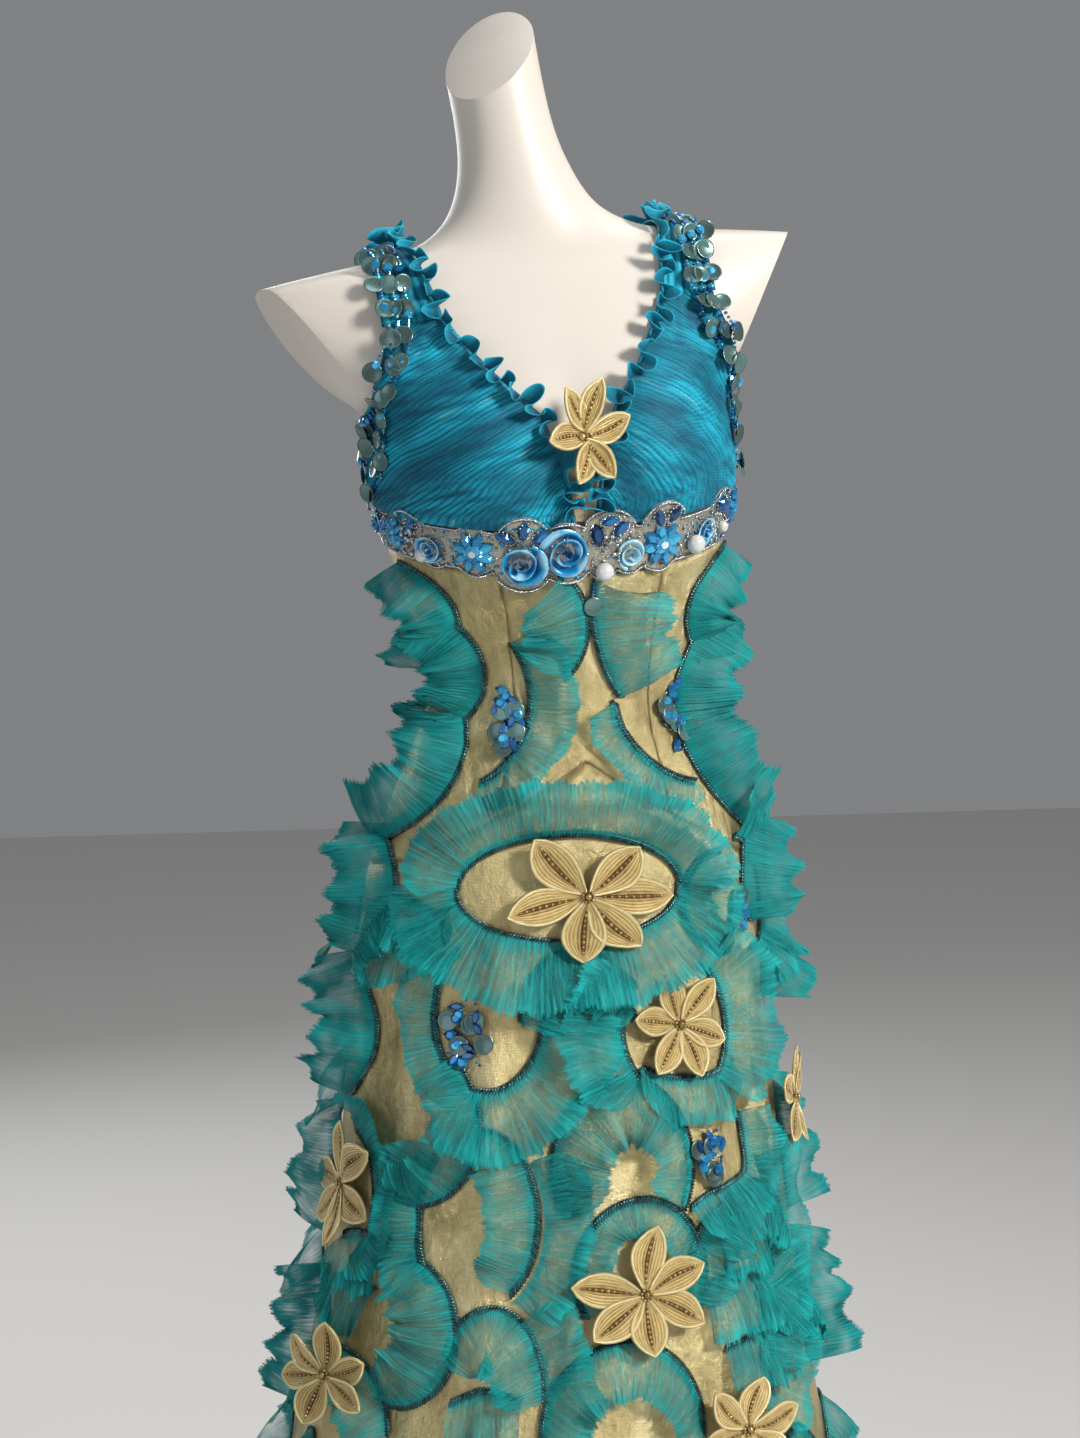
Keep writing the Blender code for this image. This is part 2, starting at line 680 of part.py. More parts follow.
def flowers(gilt):
    for name, turn, height, radius_across, radius_up, twist in FLOWERS:
        middle = math.radians(turn)

        def place(across, up, lift, middle=middle, height=height):
            radius = reach(GOWN, np.array(middle), np.array(height))
            return on_gown(middle + across / radius, height + up, lift)

        flower_disc(name, gilt, radius_across, radius_up, twist, place)

    def on_bust(across, up, lift):
        height = BUST_FLOWER + up
        side = across + 0.004
        flat = placed(FORM, side_angle(side, height), height, BUST_FLOWER_LIFT + lift)
        return flat

    flower_disc("flower_bust", gilt, 0.033, 0.046, 30, on_bust)



# Zip down the centre back

ZIP_WIDTH, ZIP_CLOTH, ZIP_GAP = 0.009, 0.0015, 0.0012
ZIP_FOOT, ZIP_HEAD = 0.880, 1.262
SLIDER = 1.240
SLIDER_SIZE = (0.0076, 0.0100, 0.0046)
PULL_SIZE = (0.0050, 0.0150, 0.0012)
CHANNEL_DEEP = 0.0026       # channel in the slider that the pull lies in
PULL_CLEAR = 0.0012         # pull to the floor of its channel


def zip_tape(tape):
    def surface(lift):
        def points(across, up):
            height = ZIP_FOOT + (ZIP_HEAD - ZIP_FOOT) * up
            aside = ZIP_WIDTH * (across - 0.5) / reach(GOWN, math.pi, height)
            angle = np.where(aside > 0, aside - math.pi, aside + math.pi)
            beside = np.where(aside > 0, COLUMN - math.pi, math.pi - COLUMN)
            share = (np.abs(aside) / COLUMN)[:, None]
            above = (1 - share) * placed(GOWN, math.pi, height, OUTER + lift)
            above += share * placed(GOWN, beside, height, OUTER + lift)
            low = (height < band_bottom(math.pi))[:, None]
            return np.where(low, on_gown(angle, height, lift), above)

        return points

    wall("zip_tape", tape, 2, 16, surface(ZIP_GAP), surface(ZIP_GAP + ZIP_CLOTH))


def zip_frame():
    """Place and directions of the slider: its seat, then across, up and out."""
    lift = OUTER + ZIP_GAP + ZIP_CLOTH + SEAM
    seat = placed(GOWN, np.array(math.pi), np.array(SLIDER), np.array(lift))
    above = placed(GOWN, np.array(math.pi), np.array(SLIDER + 0.004), np.array(lift))
    beyond = placed(GOWN, np.array(math.pi), np.array(SLIDER), np.array(lift + 0.01))
    up = Vector(above - seat).normalized()
    out = Vector(beyond - seat).normalized()
    across = up.cross(out).normalized()
    return Vector(seat), across, out.cross(across).normalized(), out


def box(name, material, size, middle, frame):
    """A box of a size along across, up and out, with its middle at those distances."""
    seat, across, up, out = frame
    bm = bmesh.new()
    bmesh.ops.create_cube(bm, size=1.0)
    for corner in bm.verts:
        steps = [corner.co[k] * size[k] + middle[k] for k in range(3)]
        corner.co = seat + across * steps[0] + up * steps[1] + out * steps[2]
    bmesh.ops.recalc_face_normals(bm, faces=bm.faces)
    mesh = bpy.data.meshes.new(name)
    bm.to_mesh(mesh)
    bm.free()
    made = bpy.data.objects.new(name, mesh)
    made.data.materials.append(material)
    return made


def zip_slider_and_pull(metal):
    frame = zip_frame()
    length, deep = SLIDER_SIZE[1:]
    floor = deep - CHANNEL_DEEP
    slider = box("zip_slider", metal, SLIDER_SIZE, (0, 0, deep / 2), frame)
    DRESS.objects.link(slider)
    channel_width = PULL_SIZE[0] + 2 * SEAM
    cutter = box("slider_channel", metal, (channel_width, 0.030, 0.010), (0, 0, floor + 0.005), frame)
    cutter.hide_render = True
    cutter.display_type = "WIRE"
    CUTTERS.objects.link(cutter)
    cut = slider.modifiers.new("channel", "BOOLEAN")
    cut.operation = "DIFFERENCE"
    cut.object = cutter
    hinge = floor + PULL_CLEAR
    drop = -PULL_SIZE[1] / 2 + PULL_SIZE[2] / 2 - length / 4
    pull = box("zip_pull", metal, PULL_SIZE, (0, drop, hinge), frame)
    DRESS.objects.link(pull)


def hinge_line():
    """Point and direction of the pull's hinge."""
    seat, across, up, out = zip_frame()
    hinge = SLIDER_SIZE[2] - CHANNEL_DEEP + PULL_CLEAR
    return seat + up * (-SLIDER_SIZE[1] / 4) + out * hinge, across


# The form and its stand

FORM_SIDES = 32
FORM_FOOT = 0.760
NECK_CUT = Vector((-0.55, -0.50, 0.67))     # direction that the cut neck faces
NECK_MIDDLE = (-0.013, 1.596)
NECK_FOOT = 1.48
SHOULDER_TIP, SHOULDER_FOOT = (0.2235, 1.425), (0.161, 1.316)
SHOULDER_FRONT = -0.23      # how far the arm cuts turn to the front
POLE_RADIUS, BASE_RADIUS, BASE_HIGH = 0.016, 0.190, 0.012


def lean_vector(side, depth, up, height):
    angle, _ = lean_at(height)
    across = side * math.cos(angle) - up * math.sin(angle)
    return Vector((across, depth, side * math.sin(angle) + up * math.cos(angle)))


def cut_off(bm, point, normal, faces):
    """Cut the given faces at a plane, drop what lies outside it and close the hole."""
    near = list(faces)
    near += {part for face in faces for part in [*face.verts, *face.edges]}
    bmesh.ops.bisect_plane(bm, geom=near, plane_co=point, plane_no=normal, clear_outer=True)
    rim = [edge for edge in bm.edges if edge.is_boundary]
    bmesh.ops.edgenet_fill(bm, edges=rim)


def form_levels():
    """Heights of the form's rings: two to a section up to the bust, then one."""
    heights = [row[0] for row in FORM_SECTIONS]
    between = [(low + high) / 2 for low, high in zip(heights[:8], heights[1:9])]
    return sorted(heights + between)


def is_arm(spot, hand):
    angle, moved = lean_at(spot.z)
    side = hand * (spot.x - moved)
    return side > 0.10 and spot.z - spot.x * math.sin(angle) > 1.300


def form_body(lacquer):
    """The form: level ovals bridged into one skin, then cut off at the neck and arms."""
    bm = bmesh.new()
    loops = []
    for height in form_levels():
        ring = bmesh.ops.create_circle(bm, cap_ends=False, segments=FORM_SIDES, radius=1.0)["verts"]
        turns = np.arctan2([corner.co.x for corner in ring], [-corner.co.y for corner in ring])
        for corner, spot in zip(ring, on_sections(FORM, turns, height)):
            corner.co = Vector(spot)
        loops += {edge for corner in ring for edge in corner.link_edges}
    bmesh.ops.bridge_loops(bm, edges=loops)
    bmesh.ops.edgenet_fill(bm, edges=[edge for edge in bm.edges if edge.is_boundary])
    bmesh.ops.recalc_face_normals(bm, faces=bm.faces)
    neck = leaned(np.array(NECK_MIDDLE[0]), np.array(0.0), np.array(NECK_MIDDLE[1]))
    cut_off(bm, neck, NECK_CUT, [face for face in bm.faces if face.calc_center_median().z > NECK_FOOT])
    for hand in (-1, 1):
        tip_side, tip_height = SHOULDER_TIP
        foot_side, foot_height = SHOULDER_FOOT
        tip = leaned(np.array(hand * tip_side), np.array(0.0), np.array(tip_height))
        slope = math.hypot(tip_height - foot_height, tip_side - foot_side)
        outward = (tip_height - foot_height) / slope
        down = (tip_side - foot_side) / slope
        arm = [face for face in bm.faces if is_arm(face.calc_center_median(), hand)]
        cut_off(bm, tip, lean_vector(hand * outward, SHOULDER_FRONT, -down, tip_height), arm)
    bmesh.ops.recalc_face_normals(bm, faces=bm.faces)
    mesh = bpy.data.meshes.new("form_body")
    bm.to_mesh(mesh)
    bm.free()
    return mesh_object("form_body", mesh, lacquer)


def turned(name, material, profile, sides):
    """A turned piece: its profile from the axis at the top, down the outside, to the axis."""
    mesh = bpy.data.meshes.new(name)
    lines = [(k, k + 1) for k in range(len(profile) - 1)]
    mesh.from_pydata([(radius, 0.0, height) for radius, height in profile], lines, [])
    made = bpy.data.objects.new(name, mesh)
    made.data.materials.append(material)
    screw = made.modifiers.new("turn", "SCREW")
    screw.steps = screw.render_steps = sides
    screw.use_merge_vertices = True
    screw.merge_threshold = 0.00001
    DRESS.objects.link(made)
    return made


def stand(steel):
    flange = 0.045
    top = FORM_FOOT - SEAM
    foot = BASE_HIGH + SEAM
    pole = (
        (0.0, top), (flange, top), (flange, top - 0.006), (POLE_RADIUS, top - 0.010),
        (POLE_RADIUS, foot + 0.030), (0.030, foot + 0.012), (0.032, foot), (0.0, foot),
    )
    turned("stand_pole", steel, pole, 20)
    plate = (
        (0.0, BASE_HIGH), (BASE_RADIUS - 0.004, BASE_HIGH), (BASE_RADIUS - 0.001, BASE_HIGH - 0.001),
        (BASE_RADIUS, BASE_HIGH - 0.004), (BASE_RADIUS, 0.0), (0.0, 0.0),
    )
    turned("stand_base", steel, plate, 40)


# Materials


def finish(name, colour, roughness, metallic=0.0):
    """A plain finish; the colour is linear red, green and blue."""
    material = bpy.data.materials.new(name)
    material.use_nodes = True
    shader = material.node_tree.nodes["Principled BSDF"]
    shader.inputs["Base Color"].default_value = (*colour, 1.0)
    shader.inputs["Roughness"].default_value = roughness
    shader.inputs["Metallic"].default_value = metallic
    material.diffuse_color = (*colour, 1.0)
    return material


def collection(name):
    made = bpy.data.collections.new(name)
    bpy.context.scene.collection.children.link(made)
    return made


def main():
    global DRESS, CUTTERS
    for item in list(bpy.data.objects):
        bpy.data.objects.remove(item, do_unlink=True)
    DRESS = collection("prom_dress")
    CUTTERS = collection("cutters")
    satin = finish("gold_satin", (0.55, 0.44, 0.20), 0.35, 0.4)
    chiffon = finish("teal_chiffon", (0.01, 0.22, 0.36), 0.6)
    organza = finish("teal_organza", (0.01, 0.25, 0.26), 0.5)
    braid = finish("silver_braid", (0.35, 0.45, 0.50), 0.4, 0.5)
    gilt = finish("gilt_thread", (0.70, 0.55, 0.25), 0.45, 0.3)
    skin_mesh = finish("nude_mesh", (0.70, 0.62, 0.45), 0.7)
    lacquer = finish("white_lacquer", (0.75, 0.68, 0.60), 0.3)
    steel = finish("white_steel", (0.70, 0.68, 0.65), 0.35, 0.2)
    zip_metal = finish("zip_metal", (0.60, 0.50, 0.30), 0.3, 1.0)
    tape = finish("zip_tape_cloth", (0.45, 0.36, 0.18), 0.7)
    form_body(lacquer)
    stand(steel)
    gown_panels(satin)
    jewelled_band(braid)
    cups(chiffon)
    straps(chiffon)
    back_yoke(chiffon)
    centre_insert(skin_mesh)
    neck_frills(organza)
    arc_frills(organza)
    row_frills(organza)
    flowers(gilt)
    zip_tape(tape)
    zip_slider_and_pull(zip_metal)


if __name__ == "__main__":
    main()
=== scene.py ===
import math

import bpy
import numpy as np
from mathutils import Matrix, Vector


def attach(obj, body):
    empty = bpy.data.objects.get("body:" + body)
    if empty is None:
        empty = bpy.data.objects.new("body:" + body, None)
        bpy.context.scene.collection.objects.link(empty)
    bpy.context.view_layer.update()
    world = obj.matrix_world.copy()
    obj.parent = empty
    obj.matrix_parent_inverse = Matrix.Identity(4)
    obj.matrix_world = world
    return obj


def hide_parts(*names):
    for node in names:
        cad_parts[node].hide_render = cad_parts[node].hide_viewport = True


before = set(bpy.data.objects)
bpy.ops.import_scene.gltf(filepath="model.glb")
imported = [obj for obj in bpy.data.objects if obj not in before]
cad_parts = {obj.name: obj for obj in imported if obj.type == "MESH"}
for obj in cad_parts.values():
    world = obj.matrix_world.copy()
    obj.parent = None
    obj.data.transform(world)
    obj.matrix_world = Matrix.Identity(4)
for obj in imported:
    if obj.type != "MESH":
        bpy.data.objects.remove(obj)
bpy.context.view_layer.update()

BODY = "dress"

# Cloth and its seams, as the solids have them
CLEARANCE, CLOTH, SEAM = 0.0025, 0.0015, 0.0003
OUTER = CLEARANCE + CLOTH
CUP_WALL, STRAP_CLOTH, CUP_EASE = 0.0030, 0.0025, 0.004
HEM = 0.030
HIP_SEAM_FRONT, HIP_SEAM_DROP = 1.018, 0.092
UNDERBUST_FRONT, UNDERBUST_RISE, BAND_HALF = 1.192, 0.060, 0.019
CUP_TOP = 1.385
LEAN, LEAN_FROM, LEAN_TO = math.radians(7.0), 1.00, 1.40
FOLDS, FOLD_DEPTH, FOLD_TOP = 10, 0.016, 0.72
COLUMN = math.radians(7.5)
PRINCESS, SIDE = 4 * COLUMN, 13 * COLUMN

# Height, half width, front depth, back depth and side shift of the form's level sections
FORM_SECTIONS = (
    (0.760, 0.150, 0.090, 0.100, 0.000),
    (0.860, 0.165, 0.098, 0.118, 0.000),
    (0.930, 0.160, 0.100, 0.110, 0.000),
    (1.000, 0.134, 0.092, 0.088, 0.000),
    (1.060, 0.112, 0.081, 0.074, 0.000),
    (1.120, 0.118, 0.087, 0.078, 0.000),
    (1.180, 0.135, 0.098, 0.086, 0.000),
    (1.240, 0.147, 0.106, 0.093, 0.000),
    (1.290, 0.148, 0.104, 0.098, 0.000),
    (1.318, 0.156, 0.098, 0.098, 0.000),
    (1.345, 0.186, 0.088, 0.095, 0.000),
    (1.370, 0.214, 0.078, 0.090, 0.000),
    (1.395, 0.238, 0.067, 0.082, 0.000),
    (1.413, 0.245, 0.058, 0.074, 0.000),
    (1.427, 0.236, 0.050, 0.066, 0.000),
    (1.436, 0.180, 0.047, 0.062, 0.000),
    (1.443, 0.125, 0.046, 0.060, 0.000),
    (1.452, 0.090, 0.045, 0.058, 0.000),
    (1.470, 0.064, 0.044, 0.056, -0.002),
    (1.500, 0.048, 0.042, 0.052, -0.004),
    (1.540, 0.040, 0.041, 0.050, -0.008),
    (1.600, 0.039, 0.041, 0.050, -0.013),
    (1.660, 0.040, 0.042, 0.051, -0.016),
)
SKIRT_SECTIONS = (
    (0.020, 0.330, 0.285, 0.335, 0.000),
    (0.200, 0.276, 0.236, 0.276, 0.000),
    (0.420, 0.226, 0.186, 0.212, 0.000),
    (0.620, 0.193, 0.148, 0.166, 0.000),
    (0.780, 0.176, 0.117, 0.138, 0.000),
    (0.860, 0.170, 0.103, 0.123, 0.000),
)
HIP_ROW = 2
BUST_HEIGHT, BUST_SPAN = 1.268, 0.078
BUST_REACH, BUST_TALL, BUST_RISE = 0.056, 0.062, 0.030

# The picture: the camera stands at this azimuth, distance and height, and looks at AIM
PICTURE = (1080, 1438)
CAMERA_AZIMUTH, CAMERA_DISTANCE, CAMERA_HEIGHT = math.radians(-12.0), 2.2, 1.25
AIM_HEIGHT, AIM_SIDE = 1.045, 0.0187
PIXEL = 0.00085             # metres that one pixel covers at the body


def camera():
    right = Vector((math.cos(CAMERA_AZIMUTH), math.sin(CAMERA_AZIMUTH), 0))
    back = Vector((math.sin(CAMERA_AZIMUTH), -math.cos(CAMERA_AZIMUTH), 0))
    aim = Vector((0, 0, AIM_HEIGHT)) - right * AIM_SIDE
    place = aim + back * CAMERA_DISTANCE
    place.z = CAMERA_HEIGHT
    data = bpy.data.cameras.new("camera")
    data.sensor_fit = "VERTICAL"
    data.sensor_height = 36.0
    data.lens = data.sensor_height * (place - aim).length / PIXEL / PICTURE[1]
    data.clip_start = 0.05
    made = bpy.data.objects.new("camera", data)
    made.location = place
    made.rotation_euler = (aim - place).to_track_quat("-Z", "Y").to_euler()
    bpy.context.scene.collection.objects.link(made)
    bpy.context.scene.camera = made


def area_light(name, place, target, size, power, colour=(1, 1, 1)):
    data = bpy.data.lights.new(name, "AREA")
    data.shape = "RECTANGLE"
    data.size, data.size_y = size
    data.energy = power
    data.color = colour
    made = bpy.data.objects.new(name, data)
    made.location = place
    made.rotation_euler = (Vector(target) - Vector(place)).to_track_quat("-Z", "Y").to_euler()
    bpy.context.scene.collection.objects.link(made)


def studio():
    """Pale floor, a soft key from the picture's right, a weak fill, lights above and behind."""
    area_light("key", (1.9, -2.3, 2.5), (0, 0, 1.0), (0.65, 0.8), 116, (1.0, 0.96, 0.90))
    area_light("fill", (-2.6, -2.2, 1.5), (0, 0, 0.9), (2.2, 2.2), 17, (0.92, 0.96, 1.0))
    area_light("top", (0.3, 0.3, 3.3), (0, 0, 1.2), (1.6, 1.6), 22)
    area_light("behind", (-0.8, 2.8, 2.0), (0, 0, 1.0), (1.6, 1.6), 26)
    world = bpy.data.worlds.new("studio")
    world.use_nodes = True
    world.node_tree.nodes["Background"].inputs["Color"].default_value = (0.80, 0.82, 0.85, 1)
    world.node_tree.nodes["Background"].inputs["Strength"].default_value = 0.27
    bpy.context.scene.world = world
    bpy.context.scene.view_settings.view_transform = "Standard"
    bpy.context.scene.view_settings.look = "None"
    bpy.ops.mesh.primitive_plane_add(size=14, location=(0, 0, 0))
    floor = bpy.context.active_object
    floor.name = "floor"
    finish = Finish("floor_paint", Roughness=0.7)
    finish.set("Base Color", (0.72, 0.71, 0.69, 1))
    floor.data.materials.append(finish.material)


# Shader maths


class Wire:
    """An output of a shader node. Arithmetic on it adds Math nodes."""

    def __init__(self, finish, socket):
        self.finish, self.socket = finish, socket

    def maths(self, operation, *values):
        return self.finish.node("Math", {"operation": operation}, dict(enumerate(values)))

    def __add__(self, other):
        return self.maths("ADD", self, other)

    __radd__ = __add__

    def __sub__(self, other):
        return self.maths("SUBTRACT", self, other)

    def __rsub__(self, other):
        return self.maths("SUBTRACT", other, self)

    def __mul__(self, other):
        return self.maths("MULTIPLY", self, other)

    __rmul__ = __mul__

    def __truediv__(self, other):
        return self.maths("DIVIDE", self, other)

    def sine(self):
        return self.maths("SINE", self)

    def held(self):
        """The value kept between 0 and 1."""
        return self.maths("MULTIPLY", self, 1.0).clamped()

    def clamped(self):
        self.socket.node.use_clamp = True
        return self

    def above(self, edge, soft):
        """0 below the edge, 1 above it, soft wide."""
        return ((self - edge) / soft + 0.5).clamped()


class Finish:
    """A material: one Principled shader, and the nodes that feed it."""

    def __init__(self, name, **constants):
        self.material = bpy.data.materials.new(name)
        self.material.use_nodes = True
        self.tree = self.material.node_tree
        self.shader = self.tree.nodes["Principled BSDF"]
        for key, value in constants.items():
            self.shader.inputs[key.replace("_", " ")].default_value = value

    def node(self, kind, settings=None, inputs=None, output=0):
        made = self.tree.nodes.new("ShaderNode" + kind)
        for key, value in (settings or {}).items():
            if key == "stops":
                ramp = made.color_ramp
                while len(ramp.elements) < len(value):
                    ramp.elements.new(0.5)
                for element, (place, colour) in zip(ramp.elements, value):
                    element.position, element.color = place, (*colour, 1)
            else:
                setattr(made, key, value)
        for key, value in (inputs or {}).items():
            self.feed(made.inputs[key], value)
        return Wire(self, made.outputs[output])

    def feed(self, socket, value):
        if isinstance(value, Wire):
            self.tree.links.new(value.socket, socket)
        else:
            socket.default_value = value

    def set(self, key, value):
        self.feed(self.shader.inputs[key], value)

    def place(self):
        return self.node("TexCoord", output="Object")

    def cloth(self):
        """The cloth's own coordinates, in metres along and across it."""
        parts = self.node("SeparateXYZ", None, {0: self.node("TexCoord", output="UV")})
        return parts, Wire(self, parts.socket.node.outputs[1])

    def noise(self, vector, scale, detail=2.0, roughness=0.5, distortion=0.0):
        values = {"Vector": vector, "Scale": scale, "Detail": detail}
        values |= {"Roughness": roughness, "Distortion": distortion}
        return self.node("TexNoise", None, values)

    def stretched(self, vector, scale):
        return self.node("Mapping", None, {"Vector": vector, "Scale": scale})

    def blend(self, share, first, second):
        """The first colour where the share is 0, the second where it is 1."""
        made = self.tree.nodes.new("ShaderNodeMix")
        made.data_type = "RGBA"
        self.feed(made.inputs[0], share)
        self.feed(made.inputs[6], first if isinstance(first, Wire) else (*first, 1))
        self.feed(made.inputs[7], second if isinstance(second, Wire) else (*second, 1))
        return Wire(self, made.outputs[2])

    def bump(self, height, distance, strength):
        return self.node("Bump", None, {"Height": height, "Distance": distance, "Strength": strength})

    def crest(self):
        """How high a point of the cloth lies, from its folds to its crests."""
        return self.node("Attribute", {"attribute_name": "crest"}, output="Fac")

    def woven(self, lengthwise, crosswise, detail, roughness=0.5):
        """Noise on the cloth's own coordinates, with so many grains a metre each way."""
        along, across = self.cloth()
        spot = self.node("CombineXYZ", None, {0: along * lengthwise, 1: across * crosswise})
        return self.noise(spot, 1.0, detail, roughness)


def satin_finish():
    """Champagne lame satin: warp sheen, a fine glinting weave, and tone that shifts in streaks, partly at
    random and partly painted highlight and painted shade.
    """
    finish = Finish("gold_satin", Metallic=0.84, Sheen_Weight=0.08, Sheen_Roughness=0.4)
    place = finish.place()
    weft = finish.woven(130, 2600, 2.0)
    warp = finish.woven(2400, 120, 2.0)
    cloud = finish.noise(finish.stretched(place, (24, 24, 13)), 1.0, 3.0, 0.5, 0.5)
    crumple_and_sheen = finish.noise(finish.stretched(place, (95, 95, 60)), 1.0, 4.0, 0.65, 0.8)
    # The bright end of the tone is a painted highlight and its dark end painted shade, laid in soft
    # patches by the noises.
    tone = (weft * 0.30 + warp * 0.30 + cloud * 1.00 + crumple_and_sheen * 0.36 - 0.50).held()
    stops = [(0.0, (0.17, 0.125, 0.055)), (0.5, (0.66, 0.545, 0.27)), (1.0, (1.0, 0.92, 0.60))]
    finish.set("Base Color", finish.node("ValToRGB", {"stops": stops}, {0: tone}))
    finish.set("Roughness", 0.21 + 0.14 * crumple_and_sheen + 0.08 * warp)
    finish.set("Normal", finish.bump(weft * 0.5 + warp * 0.4 + crumple_and_sheen * 1.3 + cloud * 7.0, 0.0011, 0.95))
    return finish.material


def chiffon_finish():
    """Turquoise crinkle chiffon, painted lighter on its pleats' crests and darker in their folds, with the
    gold lining glinting through where it is thin.
    """
    finish = Finish("teal_chiffon", Sheen_Weight=0.04, Sheen_Roughness=0.4, Specular_IOR_Level=0.25)
    streak = finish.woven(42, 900, 4.0, 0.62)
    thin = finish.woven(22, 190, 3.0, 0.6)
    crinkle = finish.noise(finish.stretched(finish.place(), (620, 620, 620)), 1.0, 3.0, 0.7)
    crest = finish.crest()
    # Painted light on the crests of the pleats and painted shade in their folds, with streaks and crinkle
    # that vary at random.
    tone = (crest * 0.86 + streak * 0.42 + crinkle * 0.3 - 0.34).held()
    colour = finish.blend(tone, (0.000, 0.055, 0.110), (0.010, 0.530, 0.760))
    glint = (thin * 0.9 + streak * 0.35 - 0.80).above(0.0, 0.14)
    finish.set("Base Color", finish.blend(glint * 0.75 * crest, colour, (0.40, 0.60, 0.40)))
    finish.set("Roughness", 0.5 + 0.25 * streak)
    finish.set("Normal", finish.bump(streak * 0.9 + crinkle * 0.8, 0.0007, 0.9))
    return finish.material


def organza_finish(name, dark, light, cover):
    """Sheer pleated organza: brushed streaks along the pleats.

    It is dense where it is gathered at its seam and at its frayed edge, and thin between them,
    so that the gold behind it shows in patches.
    """
    finish = Finish(name, Sheen_Weight=0.05, Sheen_Roughness=0.3, Specular_IOR_Level=0.2)
    crest = finish.crest()
    edge = finish.node("Attribute", {"attribute_name": "edge"}, output="Fac")
    thread = finish.woven(1500, 60, 3.0, 0.6)
    brush = finish.woven(300, 34, 4.0, 0.62)
    patch = finish.noise(finish.place(), 30.0, 2.0)
    # The crests of the pleats are painted lighter and the folds darker: painted light and painted shade.
    tone = (crest * 0.34 + thread * 0.55 + brush * 0.85 + patch * 0.70 - 0.76).held()
    finish.set("Base Color", finish.blend(tone, dark, light))
    finish.set("Roughness", 0.48 + 0.2 * thread)
    fray = finish.woven(800, 26, 1.0)
    middle = (edge * 4.2).held() * ((1 - edge) * 3.0).held()
    thin = cover - middle * (0.30 + 1.10 * (patch - 0.40)) + 1.05 * (brush - 0.5) + 0.60 * (thread - 0.5)
    hem = edge.above(0.955, 0.05)
    ragged = (fray - 0.5).above(0.02, 0.10)
    finish.set("Alpha", ((thin + 0.06).held() * (1 - hem * (1 - ragged))).held())
    finish.set("Normal", finish.bump(thread + brush, 0.0004, 0.7))
    return finish.material


def gilt_finish():
    """Gold embroidery: rows of satin stitch that run along each petal, with dark net between."""
    finish = Finish("gilt_thread", Metallic=0.60, Sheen_Weight=0.1)
    along, across = finish.cloth()
    stitch = (across * 7400 + along * 5200).sine() * 0.5 + 0.5
    cloud = finish.noise(finish.stretched(finish.place(), (150, 150, 150)), 1.0, 3.0, 0.6)
    crest = finish.crest()
    tone = (crest * 1.10 + stitch * 0.22 + cloud * 0.50 - 0.50).held()
    stops = [(0.0, (0.14, 0.075, 0.022)), (0.42, (0.74, 0.53, 0.20)), (1.0, (1.0, 0.88, 0.50))]
    finish.set("Base Color", finish.node("ValToRGB", {"stops": stops}, {0: tone}))
    finish.set("Roughness", 0.26 + 0.22 * stitch)
    finish.set("Normal", finish.bump(stitch * 0.7 + cloud * 0.6 + crest, 0.0005, 0.9))
    return finish.material


def lacquer_finish():
    """Off-white shell of the form, with the faint unevenness of sprayed lacquer."""
    finish = Finish("white_lacquer", Coat_Weight=0.12, Coat_Roughness=0.2, Specular_IOR_Level=0.4)
    place = finish.place()
    cloud = finish.noise(place, 7.0, 2.0)
    peel = finish.noise(place, 420.0, 2.0)
    finish.set("Base Color", finish.blend(cloud, (0.66, 0.605, 0.545), (0.73, 0.68, 0.62)))
    finish.set("Roughness", 0.36 + 0.10 * cloud)
    finish.set("Normal", finish.bump(peel, 0.00006, 0.5))
    return finish.material


def steel_finish():
    """Powder-coated stand."""
    finish = Finish("white_steel", Roughness=0.4, Metallic=0.1)
    place = finish.place()
    grain = finish.noise(place, 900.0, 2.0)
    scuff = finish.noise(place, 22.0, 4.0, 0.7)
    finish.set("Base Color", finish.blend(scuff, (0.62, 0.60, 0.57), (0.76, 0.74, 0.71)))
    finish.set("Roughness", 0.32 + 0.25 * scuff)
    finish.set("Normal", finish.bump(grain, 0.0001, 0.6))
    return finish.material


def metal_finish(name, dark, light, metallic, roughness, grain):
    """Metal thread or cast metal under a clear coat, with a fine uneven tone."""
    finish = Finish(name, Metallic=metallic, Coat_Weight=0.6, Coat_Roughness=0.04)
    tone = finish.noise(finish.place(), grain, 1.0)
    finish.set("Base Color", finish.blend((tone * 1.8 - 0.4).held(), dark, light))
    finish.set("Roughness", roughness + 0.10 * tone)
    return finish.material


def mesh_cloth_finish():
    """Nude mesh: a fine even net, more air than thread."""
    finish = Finish("nude_mesh", Roughness=0.6)
    along, across = finish.cloth()
    net = (along * 3600).sine() * (across * 3600).sine()
    finish.set("Base Color", finish.blend(net * 0.5 + 0.5, (0.52, 0.42, 0.26), (0.74, 0.64, 0.44)))
    finish.set("Alpha", (0.72 + 0.28 * net).held())
    return finish.material


def rose_finish():
    """Blue satin ribbon, with painted highlights where it turns over and in streaks across it."""
    finish = Finish("rose_satin", Coat_Weight=0.3, Coat_Roughness=0.1, Metallic=0.15)
    crest = finish.crest()
    cloud = finish.noise(finish.stretched(finish.place(), (160, 160, 160)), 1.0, 2.0)
    tone = (crest * 0.9 + cloud * 0.5 - 0.3).held()
    stops = [(0.0, (0.004, 0.10, 0.30)), (0.42, (0.016, 0.32, 0.66)), (1.0, (0.56, 0.90, 0.97))]
    finish.set("Base Color", finish.node("ValToRGB", {"stops": stops}, {0: tone}))
    finish.set("Roughness", 0.22 + 0.15 * cloud)
    return finish.material


# The body: the same sections and lean as the solids


